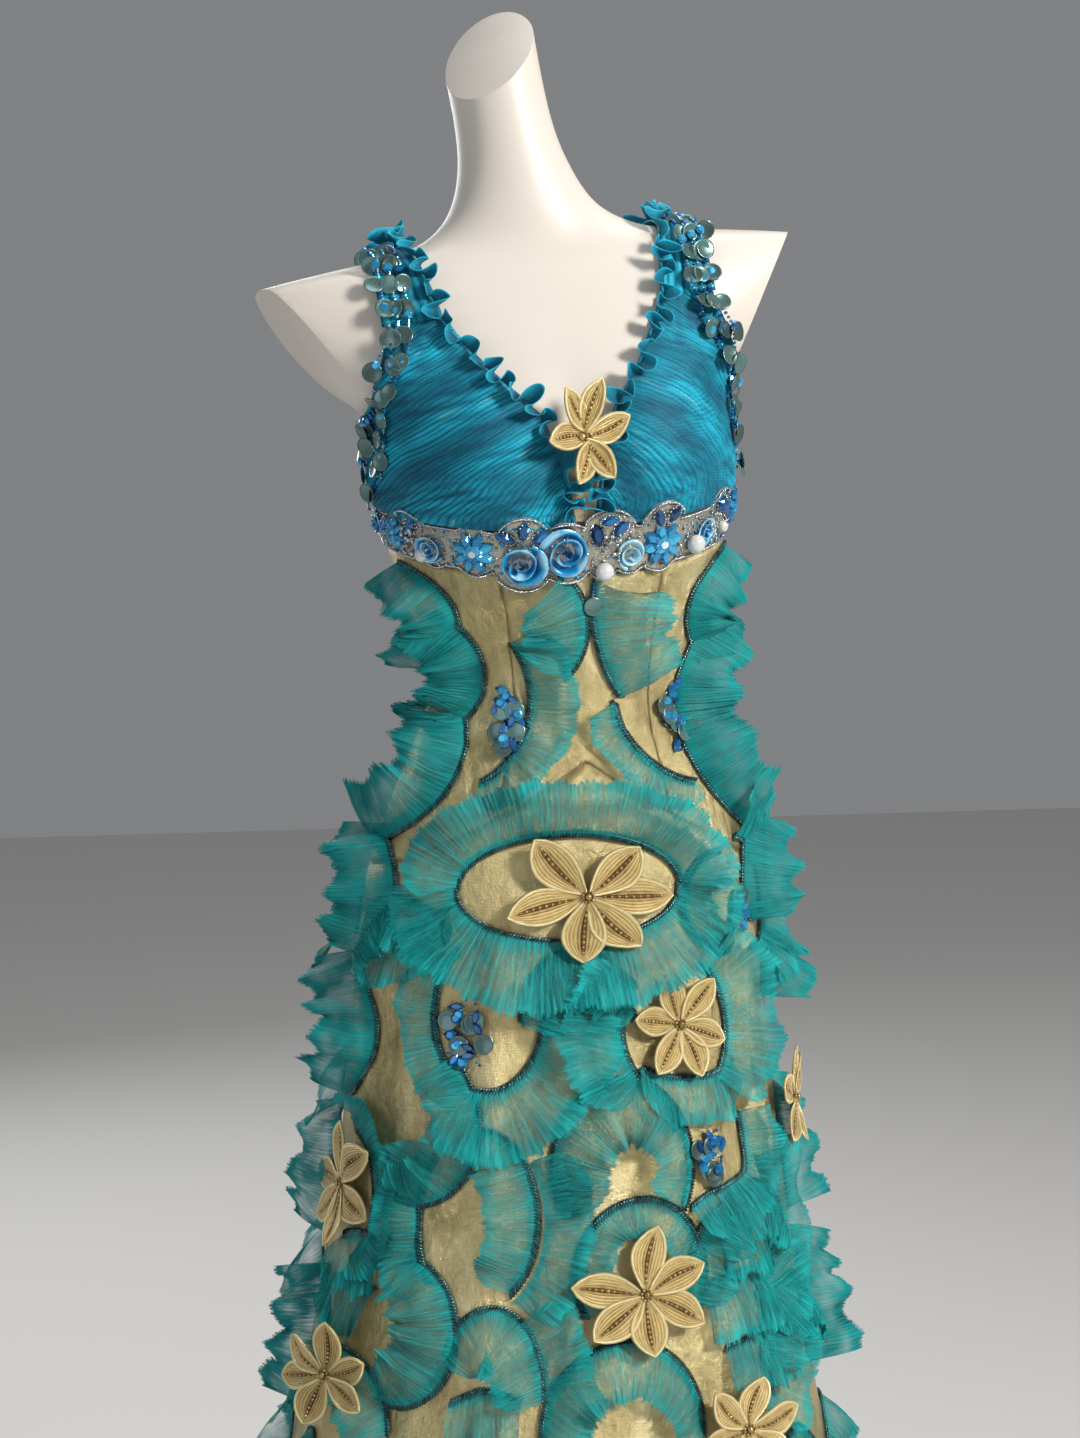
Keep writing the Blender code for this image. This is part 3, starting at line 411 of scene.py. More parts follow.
def smoothed(rows, steps=8):
    """The rows with a smooth curve through them, as an array with steps times as many."""
    table = np.array(rows, float)
    ends = np.vstack([2 * table[0] - table[1], table, 2 * table[-1] - table[-2]])
    made = []
    for before, start, end, after in zip(ends[:-3], ends[1:-2], ends[2:-1], ends[3:]):
        for part in np.arange(steps) / steps:
            rising = (end - before) * part
            bending = (2 * before - 5 * start + 4 * end - after) * part**2
            turning = (3 * start - before - 3 * end + after) * part**3
            made.append(0.5 * (2 * start + rising + bending + turning))
    made.append(table[-1])
    return np.array(made)


FORM = smoothed(FORM_SECTIONS)
GOWN = smoothed(SKIRT_SECTIONS + FORM_SECTIONS[HIP_ROW:])


def lean_at(height):
    """Lean of the section at each height, and how far its middle has gone sideways."""
    levels = np.linspace(LEAN_FROM, 1.70, 200)
    share = np.clip((levels - LEAN_FROM) / (LEAN_TO - LEAN_FROM), 0, 1)
    angles = LEAN * share * share * (3 - 2 * share)
    moved = -np.cumsum(np.tan(angles)) * (levels[1] - levels[0])
    return np.interp(height, levels, angles), np.interp(height, levels, moved)


def leaned(side, depth, height):
    angle, moved = lean_at(height)
    side, depth, height = np.broadcast_arrays(side, depth, height)
    return np.stack([moved + side * np.cos(angle), depth, height + side * np.sin(angle)], axis=-1)


def on_sections(sections, angle, height):
    """Points of a stack of oval sections, at angles round the body and heights."""
    angle, height = np.broadcast_arrays(np.asarray(angle, float), np.asarray(height, float))
    half, front, back, shift = (np.interp(height, sections[:, 0], sections[:, k]) for k in range(1, 5))
    facing = np.cos(angle)
    strong = np.clip((FOLD_TOP - height) / (FOLD_TOP - HEM), 0, 1) ** 1.3
    swell = 1 + FOLD_DEPTH / 0.3 * strong * np.cos(FOLDS * angle)
    side = half * np.sin(angle) * swell
    depth = -np.where(facing > 0, front, back) * facing * swell
    bust = BUST_RISE * np.exp(
        -(((np.abs(side) - BUST_SPAN) / BUST_REACH) ** 2) - ((height - BUST_HEIGHT) / BUST_TALL) ** 2
    )
    depth = depth - bust * np.clip(facing, 0, 1) ** 0.5
    return leaned(side + shift, depth, height)


def frame_on(sections, angle, height, lift=0.0):
    """Points at a lift off the sections, with the directions across, up and out there."""
    step = 1e-4
    here = on_sections(sections, angle, height)
    across = on_sections(sections, np.asarray(angle) + step, height) - here
    upward = on_sections(sections, angle, np.asarray(height) + step) - here
    out = np.cross(across, upward)
    out /= np.linalg.norm(out, axis=-1, keepdims=True)
    across /= np.linalg.norm(across, axis=-1, keepdims=True)
    lift = np.broadcast_to(lift, out.shape[:-1])
    return here + out * lift[..., None], across, np.cross(out, across), out


def placed(sections, angle, height, lift):
    return frame_on(sections, angle, height, lift)[0]


def reach(sections, angle, height):
    """Metres that one radian covers round the body there."""
    step = 1e-4
    move = on_sections(sections, np.asarray(angle) + step, height) - on_sections(sections, angle, height)
    return np.linalg.norm(move, axis=-1) / step


def hip_seam(angle):
    return HIP_SEAM_FRONT - HIP_SEAM_DROP * np.abs(np.sin(np.clip(angle, -math.pi / 2, math.pi / 2)))


def band_middle(angle):
    return UNDERBUST_FRONT + UNDERBUST_RISE * np.sin(angle / 2) ** 2


def band_bottom(angle):
    return band_middle(angle) - BAND_HALF


def band_top(angle):
    return band_middle(angle) + BAND_HALF


def yoke_top(angle):
    return np.interp(np.degrees(np.abs(angle)), (97.5, 112.0, 140.0, 180.0), (1.252, 1.284, 1.284, 1.264))


def neckline(height):
    levels = (1.196, 1.250, 1.300, 1.335, 1.372, 1.420)
    return np.interp(height, levels, (0.006, 0.015, 0.030, 0.058, 0.082, 0.104))


def armhole(height):
    return np.interp(height, (1.285, 1.310, 1.337, 1.382), (0.152, 0.156, 0.148, 0.135))


# Making meshes


def new_object(name, mesh, material):
    made = bpy.data.objects.new(name, mesh)
    mesh.materials.append(material)
    bpy.context.scene.collection.objects.link(made)
    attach(made, BODY)
    return made


def cloth_grid(name, material, points, along, across, crest=None, edge=None, thick=0.0, patches=1):
    """A sheet from a grid of points (rows, columns), with its cloth coordinates in metres.

    crest and edge are values of the points that the finishes read. The grid may hold several
    patches, one above the other, that don't join.
    """
    rows, columns = points.shape[:2]
    number = np.arange(rows * columns).reshape(patches, rows // patches, columns)
    corners = [number[:, :-1, :-1], number[:, :-1, 1:], number[:, 1:, 1:], number[:, 1:, :-1]]
    quads = np.stack(corners, axis=-1).reshape(-1, 4)
    mesh = bpy.data.meshes.new(name)
    mesh.from_pydata(points.reshape(-1, 3).tolist(), [], quads.tolist())
    layer = mesh.uv_layers.new(name="cloth")
    flat = np.stack(np.broadcast_arrays(along, across), axis=-1).reshape(-1, 2)
    layer.data.foreach_set("uv", flat[quads.ravel()].ravel().astype(np.float32))
    for key, values in (("crest", crest), ("edge", edge)):
        attribute = mesh.attributes.new(key, "FLOAT", "POINT")
        if values is not None:
            spread = np.broadcast_to(values, (rows, columns)).ravel().astype(np.float32)
            attribute.data.foreach_set("value", spread)
    mesh.shade_smooth()
    made = new_object(name, mesh, material)
    if thick:
        wall = made.modifiers.new("cloth", "SOLIDIFY")
        wall.thickness = thick
        wall.offset = -1
    return made


def spans(points):
    """Mean length of a grid along its rows and along its columns."""
    wide = np.linalg.norm(np.diff(points, axis=1), axis=-1).sum(axis=1).mean()
    tall = np.linalg.norm(np.diff(points, axis=0), axis=-1).sum(axis=0).mean()
    return wide, tall


def grid_area(points):
    """Area of a grid of points, from the diagonals of its cells."""
    one = points[1:, 1:] - points[:-1, :-1]
    other = points[1:, :-1] - points[:-1, 1:]
    return float(np.linalg.norm(np.cross(one, other), axis=-1).sum() / 2)


def declared(node, points):
    """Hide the solid that a cloth replaces, and work out the cloth's flat size from its points."""
    if node:
        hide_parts(node)
    wide, tall = spans(points)


def soft_noise(first, second, seed):
    """Smooth uneven values about 0 from a few waves whose turns and phases are seeded."""
    draw = np.random.default_rng(seed)
    total = np.zeros(np.broadcast(first, second).shape)
    for wave in range(6):
        turn, phase = draw.uniform(0, 2 * math.pi, 2)
        rate = draw.uniform(0.6, 1.6) * (1 + wave * 0.45)
        along = first * math.cos(turn) + second * math.sin(turn)
        total = total + np.sin(along * rate + phase) / (1 + wave * 0.3)
    return total / 3


class Heap:
    """Many copies of small pieces gathered into one mesh, each copy with its own tone."""

    def __init__(self, seed=1):
        self.points, self.faces, self.tones, self.count = [], [], [], 0
        self.draw = np.random.default_rng(seed)

    def add(self, template, middles, frames, sizes):
        """Copies at their middles. frames holds, for each, the directions of the template's axes."""
        middles = np.asarray(middles, float).reshape(-1, 3)
        many = len(middles)
        frames = np.broadcast_to(np.asarray(frames, float), (many, 3, 3))
        sizes = np.asarray(sizes, float)
        if sizes.ndim < 2:
            sizes = np.broadcast_to(sizes if sizes.shape == (3,) else sizes.reshape(-1, 1), (many, 3))
        points, faces = template
        placed_points = middles[:, None] + np.einsum("vk,mk,mkj->mvj", points, sizes, frames)
        self.points.append(placed_points.reshape(-1, 3))
        starts = self.count + np.arange(many)[:, None, None] * len(points)
        self.faces.append((faces[None] + starts).reshape(-1, 3))
        self.tones.append(np.repeat(self.draw.uniform(0, 1, many), len(points)))
        self.count += many * len(points)

    def made(self, name, material, smooth=True):
        mesh = bpy.data.meshes.new(name)
        mesh.from_pydata(np.vstack(self.points).tolist(), [], np.vstack(self.faces).tolist())
        attribute = mesh.attributes.new("tone", "FLOAT", "POINT")
        attribute.data.foreach_set("value", np.concatenate(self.tones).astype(np.float32))
        if smooth:
            mesh.shade_smooth()
        return new_object(name, mesh, material)


def taken():
    """Points and triangles of the active object, which is then removed."""
    made = bpy.context.active_object
    mesh = made.data
    mesh.calc_loop_triangles()
    points = np.array([corner.co for corner in mesh.vertices])
    faces = np.array([piece.vertices for piece in mesh.loop_triangles])
    bpy.data.objects.remove(made)
    bpy.data.meshes.remove(mesh)
    return points, faces


def bead_template(sides=5, rings=3):
    """A round bead, a little flat along its thread."""
    bpy.ops.object.select_all(action="DESELECT")
    bpy.ops.mesh.primitive_uv_sphere_add(segments=sides, ring_count=rings, radius=1)
    bpy.ops.object.mode_set(mode="EDIT")
    bpy.ops.transform.resize(value=(1, 1, 0.86))
    bpy.ops.object.mode_set(mode="OBJECT")
    return taken()


def bugle_template():
    """A bugle bead: a short rod."""
    bpy.ops.object.select_all(action="DESELECT")
    bpy.ops.mesh.primitive_cylinder_add(vertices=4, radius=1, depth=2)
    bpy.ops.object.mode_set(mode="EDIT")
    bpy.ops.mesh.select_all(action="SELECT")
    bpy.ops.transform.resize(value=(1, 0.8, 1))
    bpy.ops.object.mode_set(mode="OBJECT")
    return taken()


def crystal_template(sides=8):
    """A cut stone: wide at the girdle, with a flat table on top."""
    bpy.ops.object.select_all(action="DESELECT")
    above = (0, 0, 0.45)
    bpy.ops.mesh.primitive_cone_add(vertices=sides, radius1=1, radius2=0.56, depth=0.5, location=above)
    made = bpy.context.active_object
    bpy.ops.object.mode_set(mode="EDIT")
    bpy.ops.mesh.select_all(action="DESELECT")
    bpy.ops.mesh.select_mode(type="FACE")
    bpy.ops.object.mode_set(mode="OBJECT")
    for face in made.data.polygons:
        face.select = face.normal.z < -0.9
    bpy.ops.object.mode_set(mode="EDIT")
    bpy.ops.mesh.extrude_region_move(TRANSFORM_OT_translate={"value": (0, 0, -0.35)})
    bpy.ops.transform.resize(value=(0.7, 0.7, 1))
    bpy.ops.object.mode_set(mode="OBJECT")
    bpy.ops.object.transform_apply(location=True, rotation=True, scale=True)
    return taken()


def marquise_template():
    """A pointed oval stone, its long way along x."""
    points, faces = crystal_template(12)
    reach_out = np.abs(points[:, 0])
    points[:, 1] *= 0.50 * (1 - 0.75 * reach_out**2.2)
    return points, faces


def paillette_template():
    """A thin round sequin, slightly dished."""
    bpy.ops.object.select_all(action="DESELECT")
    bpy.ops.mesh.primitive_cylinder_add(vertices=20, radius=1, depth=0.07)
    made = bpy.context.active_object
    bpy.ops.object.mode_set(mode="EDIT")
    bpy.ops.mesh.select_mode(type="FACE")
    bpy.ops.mesh.select_all(action="DESELECT")
    bpy.ops.object.mode_set(mode="OBJECT")
    for face in made.data.polygons:
        face.select = abs(face.normal.z) > 0.9
    bpy.ops.object.mode_set(mode="EDIT")
    bpy.ops.mesh.inset(thickness=0.16, depth=-0.015)
    bpy.ops.mesh.inset(thickness=0.50, depth=0.0)
    bpy.ops.object.mode_set(mode="OBJECT")
    points, faces = taken()
    points[:, 2] += 0.12 * (points[:, 0] ** 2 + points[:, 1] ** 2)
    return points, faces


TEMPLATES = {}


def templates():
    TEMPLATES["bead"] = bead_template()
    TEMPLATES["pearl"] = bead_template(14, 9)
    TEMPLATES["bugle"] = bugle_template()
    TEMPLATES["crystal"] = crystal_template()
    TEMPLATES["marquise"] = marquise_template()
    TEMPLATES["paillette"] = paillette_template()


def toned_finish(name, dark, light, metallic, roughness):
    """Beads, stones and sequins: each copy takes its tone between the two colours."""
    finish = Finish(name, Metallic=metallic, Coat_Weight=0.6, Coat_Roughness=0.04)
    tone = finish.node("Attribute", {"attribute_name": "tone"}, output="Fac")
    cloud = finish.noise(finish.place(), 900.0, 1.0)
    finish.set("Base Color", finish.blend((tone * 0.9 + cloud * 0.35 - 0.15).held(), dark, light))
    finish.set("Roughness", roughness + 0.14 * cloud)
    return finish.material


# Creases of the satin: angle, lowest and highest point, half width and height of each
CREASES = (
    (-72, 0.30, 0.93, 0.013, 0.0035),
    (-50, 0.20, 0.90, 0.010, -0.003),
    (-27, 0.25, 0.95, 0.012, 0.003),
    (-12, 0.20, 0.62, 0.010, -0.003),
    (10, 0.62, 0.82, 0.012, 0.002),
    (34, 0.20, 0.93, 0.014, 0.004),
    (48, 0.30, 0.90, 0.008, -0.003),
    (61, 0.20, 0.94, 0.013, 0.003),
    (84, 0.20, 0.86, 0.014, -0.003),
    (112, 0.20, 0.93, 0.013, 0.0035),
    (131, 0.25, 0.88, 0.010, -0.003),
    (152, 0.20, 0.95, 0.014, 0.0035),
    (172, 0.30, 0.80, 0.012, -0.003),
    (-107, 0.20, 0.92, 0.014, 0.0035),
    (-126, 0.25, 0.90, 0.011, -0.003),
    (-149, 0.20, 0.93, 0.013, 0.003),
    (-170, 0.20, 0.78, 0.012, -0.0025),
)
# Pull lines of the body: angle, height, half length, half width, slope and depth
PULLS = (
    (-62, 1.020, 0.050, 0.0035, 0.35, -0.0011),
    (-60, 1.034, 0.056, 0.0040, 0.28, 0.0010),
    (-66, 1.050, 0.048, 0.0040, 0.20, -0.0010),
    (60, 1.016, 0.050, 0.0035, -0.35, -0.0011),
    (63, 1.031, 0.056, 0.0040, -0.28, 0.0010),
    (58, 1.047, 0.046, 0.0040, -0.18, -0.0010),
    (0, 1.040, 0.050, 0.0045, 0.05, -0.0009),
    (4, 1.058, 0.044, 0.0045, -0.04, 0.0008),
    (128, 1.030, 0.052, 0.0040, 0.25, -0.0010),
    (132, 1.048, 0.050, 0.0040, 0.18, 0.0009),
    (-128, 1.028, 0.052, 0.0040, -0.25, -0.0010),
    (-133, 1.046, 0.050, 0.0040, -0.15, 0.0009),
)


def creases(angle, height):
    """How far the satin stands in or out of its even shape."""
    angle, height = np.broadcast_arrays(np.asarray(angle, float), np.asarray(height, float))
    total = 0.0004 * soft_noise(angle * 9, height * 26, 5) * np.clip((1.06 - height) / 0.1, 0.4, 1)
    total = total + 0.00022 * soft_noise(angle * 26, height * 120, 6)
    below = np.clip((0.97 - height) / 0.25, 0, 1)
    total = total + 0.0012 * below * soft_noise(angle * 16, height * 5, 8)
    radius = np.interp(height, GOWN[:, 0], (GOWN[:, 1] + GOWN[:, 2]) / 2)
    for turn, low, high, wide, deep in CREASES:
        drift = math.radians(turn) + 0.02 * np.sin(height * 11 + turn)
        across = (np.mod(angle - drift + math.pi, 2 * math.pi) - math.pi) * radius
        length = np.clip((height - low) / 0.10, 0, 1) * np.clip((high - height) / 0.10, 0, 1)
        total = total + deep * length * np.exp(-((across / (wide * (1.4 - 0.6 * below))) ** 2))
    for turn, middle, long, wide, slope, deep in PULLS:
        across = (angle - math.radians(turn)) * radius
        off = height - middle - slope * across - 1.2 * across**2
        total = total + deep * np.exp(-((across / long) ** 2) - (off / wide) ** 2)
    return total


def on_cloth(angle, height, lift):
    """Points over the satin, with the directions across, up and out there."""
    return frame_on(GOWN, angle, height, OUTER + np.clip(creases(angle, height), -0.0010, 1) + lift)


def satin_panel(node, satin, start, end, bottom, top, rows, columns):
    """A panel between two seam angles and two seam lines; its edges turn in at the seams."""
    across, up = np.meshgrid(np.linspace(0, 1, columns), np.linspace(0, 1, rows))
    angle = start + (end - start) * across
    low, high = bottom(angle) + SEAM / 2, top(angle) - SEAM / 2
    height = low + (high - low) * up
    radius = reach(GOWN, angle, height)
    angle = angle + (0.5 - across) * SEAM / radius
    aside = np.minimum(across, 1 - across) * (end - start) * radius
    above = np.minimum(up, 1 - up) * (high - low)
    turned_in = 0.0007 * (np.exp(-((aside / 0.0010) ** 2)) + np.exp(-((above / 0.0010) ** 2)))
    crease = creases(angle, height)
    crease = np.maximum(crease, -0.0012) if bottom is hip_seam else crease
    points = placed(GOWN, angle, height, OUTER + crease - turned_in)
    made = cloth_grid(node + "_cloth", satin, points, angle * 0.16, height, thick=0.001)
    declared(node, points)


def level(height):
    """A seam line that stays at one height."""
    return lambda angle: np.full(np.shape(angle), height)


# Panels: node, angles of the two seams, and rows and columns of the grid
MIDRIFF = (
    ("midriff_centre", -PRINCESS, PRINCESS, 46, 44),
    ("midriff_side_right", -SIDE, -PRINCESS, 46, 46),
    ("midriff_side_left", PRINCESS, SIDE, 46, 46),
    ("midriff_back_right", -math.pi, -SIDE, 42, 46),
    ("midriff_back_left", SIDE, math.pi, 42, 46),
)
SKIRT = (
    ("skirt_front", -SIDE, SIDE, 100, 86),
    ("skirt_back_right", -math.pi, -SIDE, 100, 42),
    ("skirt_back_left", SIDE, math.pi, 100, 42),
)


def gown(satin):
    for node, start, end, rows, columns in MIDRIFF:
        satin_panel(node, satin, start, end, hip_seam, band_bottom, rows, columns)
    for node, start, end, rows, columns in SKIRT:
        satin_panel(node, satin, start, end, level(HEM), hip_seam, rows, columns)


# Cups, straps and yoke

CORNER = 0.45
STRAP_IN, STRAP_OUT, STRAP_TAPER, STRAP_LOW = 0.104, 0.139, 0.014, 1.270
UPPER = FORM[FORM[:, 0] > 1.4135]


def side_angle(side, height):
    """Angle round the form of a point at a distance from the middle."""
    half = np.interp(height, FORM[:, 0], FORM[:, 1])
    return np.arcsin(np.clip(side / half, -1, 1))


def cup_edges(up):
    """Angle and height of a cup's inner and outer edge; up runs from the band to the strap."""
    down = 1 - up
    low = UNDERBUST_FRONT + BAND_HALF + 0.003
    inner_height = CUP_TOP - SEAM / 2 + (low - CUP_TOP) * down
    inner = side_angle(neckline(inner_height), inner_height)
    underarm = band_top(SIDE) + 0.006
    share = np.clip(down / CORNER, 0, 1)
    arm_height = CUP_TOP - SEAM / 2 + (underarm - CUP_TOP) * share
    edge = side_angle(armhole(arm_height), arm_height)
    blend = np.clip((1.300 - arm_height) / 0.040, 0, 1)
    seam = SIDE - SEAM
    arm_angle = np.where(arm_height < 1.300, edge + (seam - edge) * blend, edge)
    along = np.clip((down - CORNER) / (1 - CORNER), 0, 1)
    foot_angle = seam + (math.radians(7.0) - seam) * along
    foot_height = band_top(foot_angle) + SEAM * 1.5 + 0.006 * (1 - np.clip(along * 8, 0, 1))
    on_arm = down < CORNER
    outer = np.where(on_arm, arm_angle, foot_angle)
    outer_height = np.where(on_arm, arm_height, foot_height)
    return inner, inner_height, outer, outer_height


def cup_spot(across, up):
    """Angle and height of a point of a cup, from its shares across and up."""
    inner, inner_height, outer, outer_height = cup_edges(up)
    angle = inner + (outer - inner) * across
    return angle, inner_height + (outer_height - inner_height) * across


def pleat(phase, seed):
    """Height of a row of uneven laid pleats, 0 in the folds to 1 on the crests."""
    number = np.floor(phase)
    tall = 0.66 + 0.34 * np.sin(number * 12.9898 + seed)
    share = phase - number
    ridge = 0.55 + 0.30 * np.sin(number * 4.1414 + seed)
    share = np.where(share < ridge, share / ridge, (1 - share) / (1 - ridge))
    return tall * np.sin(math.pi / 2 * np.clip(share, 0, 1)) ** 0.8


def chiffon_piece(node, chiffon, points, along, across, crest):
    made = cloth_grid(node + "_cloth", chiffon, points, along, across, crest=crest, thick=0.0008)
    declared(node, points)


CUP_PLEATS = 62
# How far the pleats of each hand's cup fall outward, above and below
SLOPES = {-1: (0.10, 0.16), 1: (0.20, 0.34)}


def chiffon_cups(chiffon):
    """Pleats fall from the neck edge outward; they waver, fade and run into each other."""
    rows, columns = 278, 48
    for node, hand in (("cup_right", -1), ("cup_left", 1)):
        across, up = np.meshgrid(np.linspace(0, 1, columns), np.linspace(0, 1, rows))
        angle, height = cup_spot(across, up)
        above, below = SLOPES[hand]
        slope = below + (above - below) * up
        drift = 1.3 * soft_noise(across * 4, up * 8, 20 + hand)
        drift = drift + 0.28 * soft_noise(across * 14, up * 26, 24 + hand)
        crest = pleat((up + slope * across) * CUP_PLEATS + drift, 3.1 * hand)
        fade = 0.72 + 0.55 * soft_noise(across * 14, up * 60, 28 + hand)
        crest = crest * np.clip(fade, 0.2, 1)
        ease = CUP_EASE * across**2 * np.sqrt(np.sin(math.pi * np.clip(up, 0, 1)))
        rim = np.minimum(np.minimum(across, 1 - across) * 12, 1)
        lift = CLEARANCE + ease + CUP_WALL - 0.0010 + 0.0025 * crest * rim
        lift = lift + 0.0009 * soft_noise(across * 9, up * 24, 7 + hand)
        points = placed(FORM, hand * angle, height, lift)
        chiffon_piece(node, chiffon, points, across * 0.12, (up + slope * across) * 0.2, crest)


def over_shoulder(hand, side, arch, lift):
    """Points on a lane over the shoulder; arch is the angle from its top, negative in front."""

    def lane(side, arch):
        crest = np.interp(-side, -UPPER[:, 1], UPPER[:, 0])
        height = STRAP_LOW + (crest - STRAP_LOW) * np.cos(arch)
        half, front, back = (np.interp(height, FORM[:, 0], FORM[:, k]) for k in (1, 2, 3))
        deep = np.sqrt(np.clip(1 - (side / half) ** 2, 0, 1))
        return np.stack([side, np.where(arch < 0, -front, back) * deep, height], axis=-1)

    step = 1e-3
    here = lane(side, arch)
    across = lane(side + step, arch) - lane(side - step, arch)
    along = lane(side, arch + step) - lane(side, arch - step)
    normal = np.cross(across, along)
    normal /= np.linalg.norm(normal, axis=-1, keepdims=True)
    spot = here + normal * np.asarray(lift)[..., None]
    return leaned(hand * spot[..., 0], spot[..., 1], spot[..., 2])


def strap_ends(side):
    """The arch at which a lane of the strap starts at the cup and ends at the yoke."""
    crest = np.interp(-side, -UPPER[:, 1], UPPER[:, 0])
    first = -np.arccos((CUP_TOP + SEAM - STRAP_LOW) / (crest - STRAP_LOW))
    last = np.arccos((yoke_top(2.2) + SEAM - STRAP_LOW) / (crest - STRAP_LOW))
    return first, last


def chiffon_straps(chiffon):
    rows, columns = 80, 36
    for node, hand in (("strap_right", -1), ("strap_left", 1)):
        across, up = np.meshgrid(np.linspace(0, 1, columns), np.linspace(0, 1, rows))
        side = STRAP_IN + (STRAP_OUT - STRAP_IN) * across
        side = side - STRAP_TAPER * np.clip(1 - up * 4, 0, 1) * (1 - across)
        first, last = strap_ends(side)
        crest = pleat(across * 6.99 + 0.3 * soft_noise(across * 2, up * 7, 31), hand)
        lift = CLEARANCE + STRAP_CLOTH - 0.0012 + 0.0018 * crest
        points = over_shoulder(hand, side, first + (last - first) * up, lift)
        chiffon_piece(node, chiffon, points, up * 0.2, across * 0.04, crest)


def chiffon_yoke(chiffon):
    for node, start, end in (("back_yoke_right", -math.pi, -SIDE), ("back_yoke_left", SIDE, math.pi)):
        across, up = np.meshgrid(np.linspace(0, 1, 64), np.linspace(0, 1, 42))
        angle = start + (end - start) * across
        low, high = band_top(angle) + SEAM / 2, yoke_top(angle) - SEAM / 2
        height = low + (high - low) * up
        angle = angle + (0.5 - across) * SEAM / reach(GOWN, angle, height)
        crest = pleat(up * 7.99 + 0.3 * soft_noise(across * 5, up * 2, 41), 2.0)
        points = placed(GOWN, angle, height, OUTER - 0.0010 + 0.0016 * crest)
        chiffon_piece(node, chiffon, points, across * 0.2, up * 0.05, crest)


def insert(mesh_cloth):
    low, high = UNDERBUST_FRONT + BAND_HALF + 0.004, 1.286
    across, up = np.meshgrid(np.linspace(-1, 1, 30), np.linspace(0, 1, 50))
    height = low + (high - low) * up
    half = neckline(height) - 0.0012
    points = placed(FORM, side_angle(half * across, height), height, CLEARANCE + CLOTH)
    made = cloth_grid("centre_insert_cloth", mesh_cloth, points, half * across, height, thick=0.0006)
    declared("centre_insert", points)


# Frills

FRILL_INSET, FRILL_ON_CUP, CUP_PLEAT = 0.003, 44 / 64, 0.0013
PITCH = 0.0026                # one accordion pleat of the organza
FULLNESS = 1.6                # length of the organza before pleating, as a share of its seam


def folded_edge(phase):
    """Soft folds of accordion pleating, from -1 to 1."""
    sharp = 4 * np.abs(np.mod(phase, 1) - 0.5) - 1
    return sharp * (1.25 - 0.25 * sharp**2)


def fallen(width, first, curl, rows):
    """Cross section of a frill: how far it goes away from its seam and off the gown.

    It leaves its seam at the first angle off the gown and turns by the curl up to its edge.
    """
    out = np.linspace(0, 1, 60)
    slope = np.radians(first + curl * out)
    away = np.concatenate([[0], np.cumsum(np.cos(slope[:-1]))]) * width / 59
    off = np.concatenate([[0], np.cumsum(np.sin(slope[:-1]))]) * width / 59
    share = np.linspace(0, 1, rows)
    return np.interp(share, out, away)[:, None], np.interp(share, out, off)[:, None]


def straightened(root, away, slender):
    """How much straighter a frill falls than square to its line, and the line's mean direction.

    A frill that falls into a bend would run together in the bend's middle. slender is its
    width as a share of the length of its line.
    """
    line = np.linspace(0, 1, 200)
    angle, height = root(line)
    along = np.gradient(angle) * reach(GOWN, angle, height)
    rise = np.gradient(height)
    heading = np.unwrap(np.arctan2(rise, along))
    together = -away * (heading[-1] - heading[0]) * slender
    return np.clip(together - 0.5, 0, 0.35), np.cos(heading).mean(), np.sin(heading).mean()


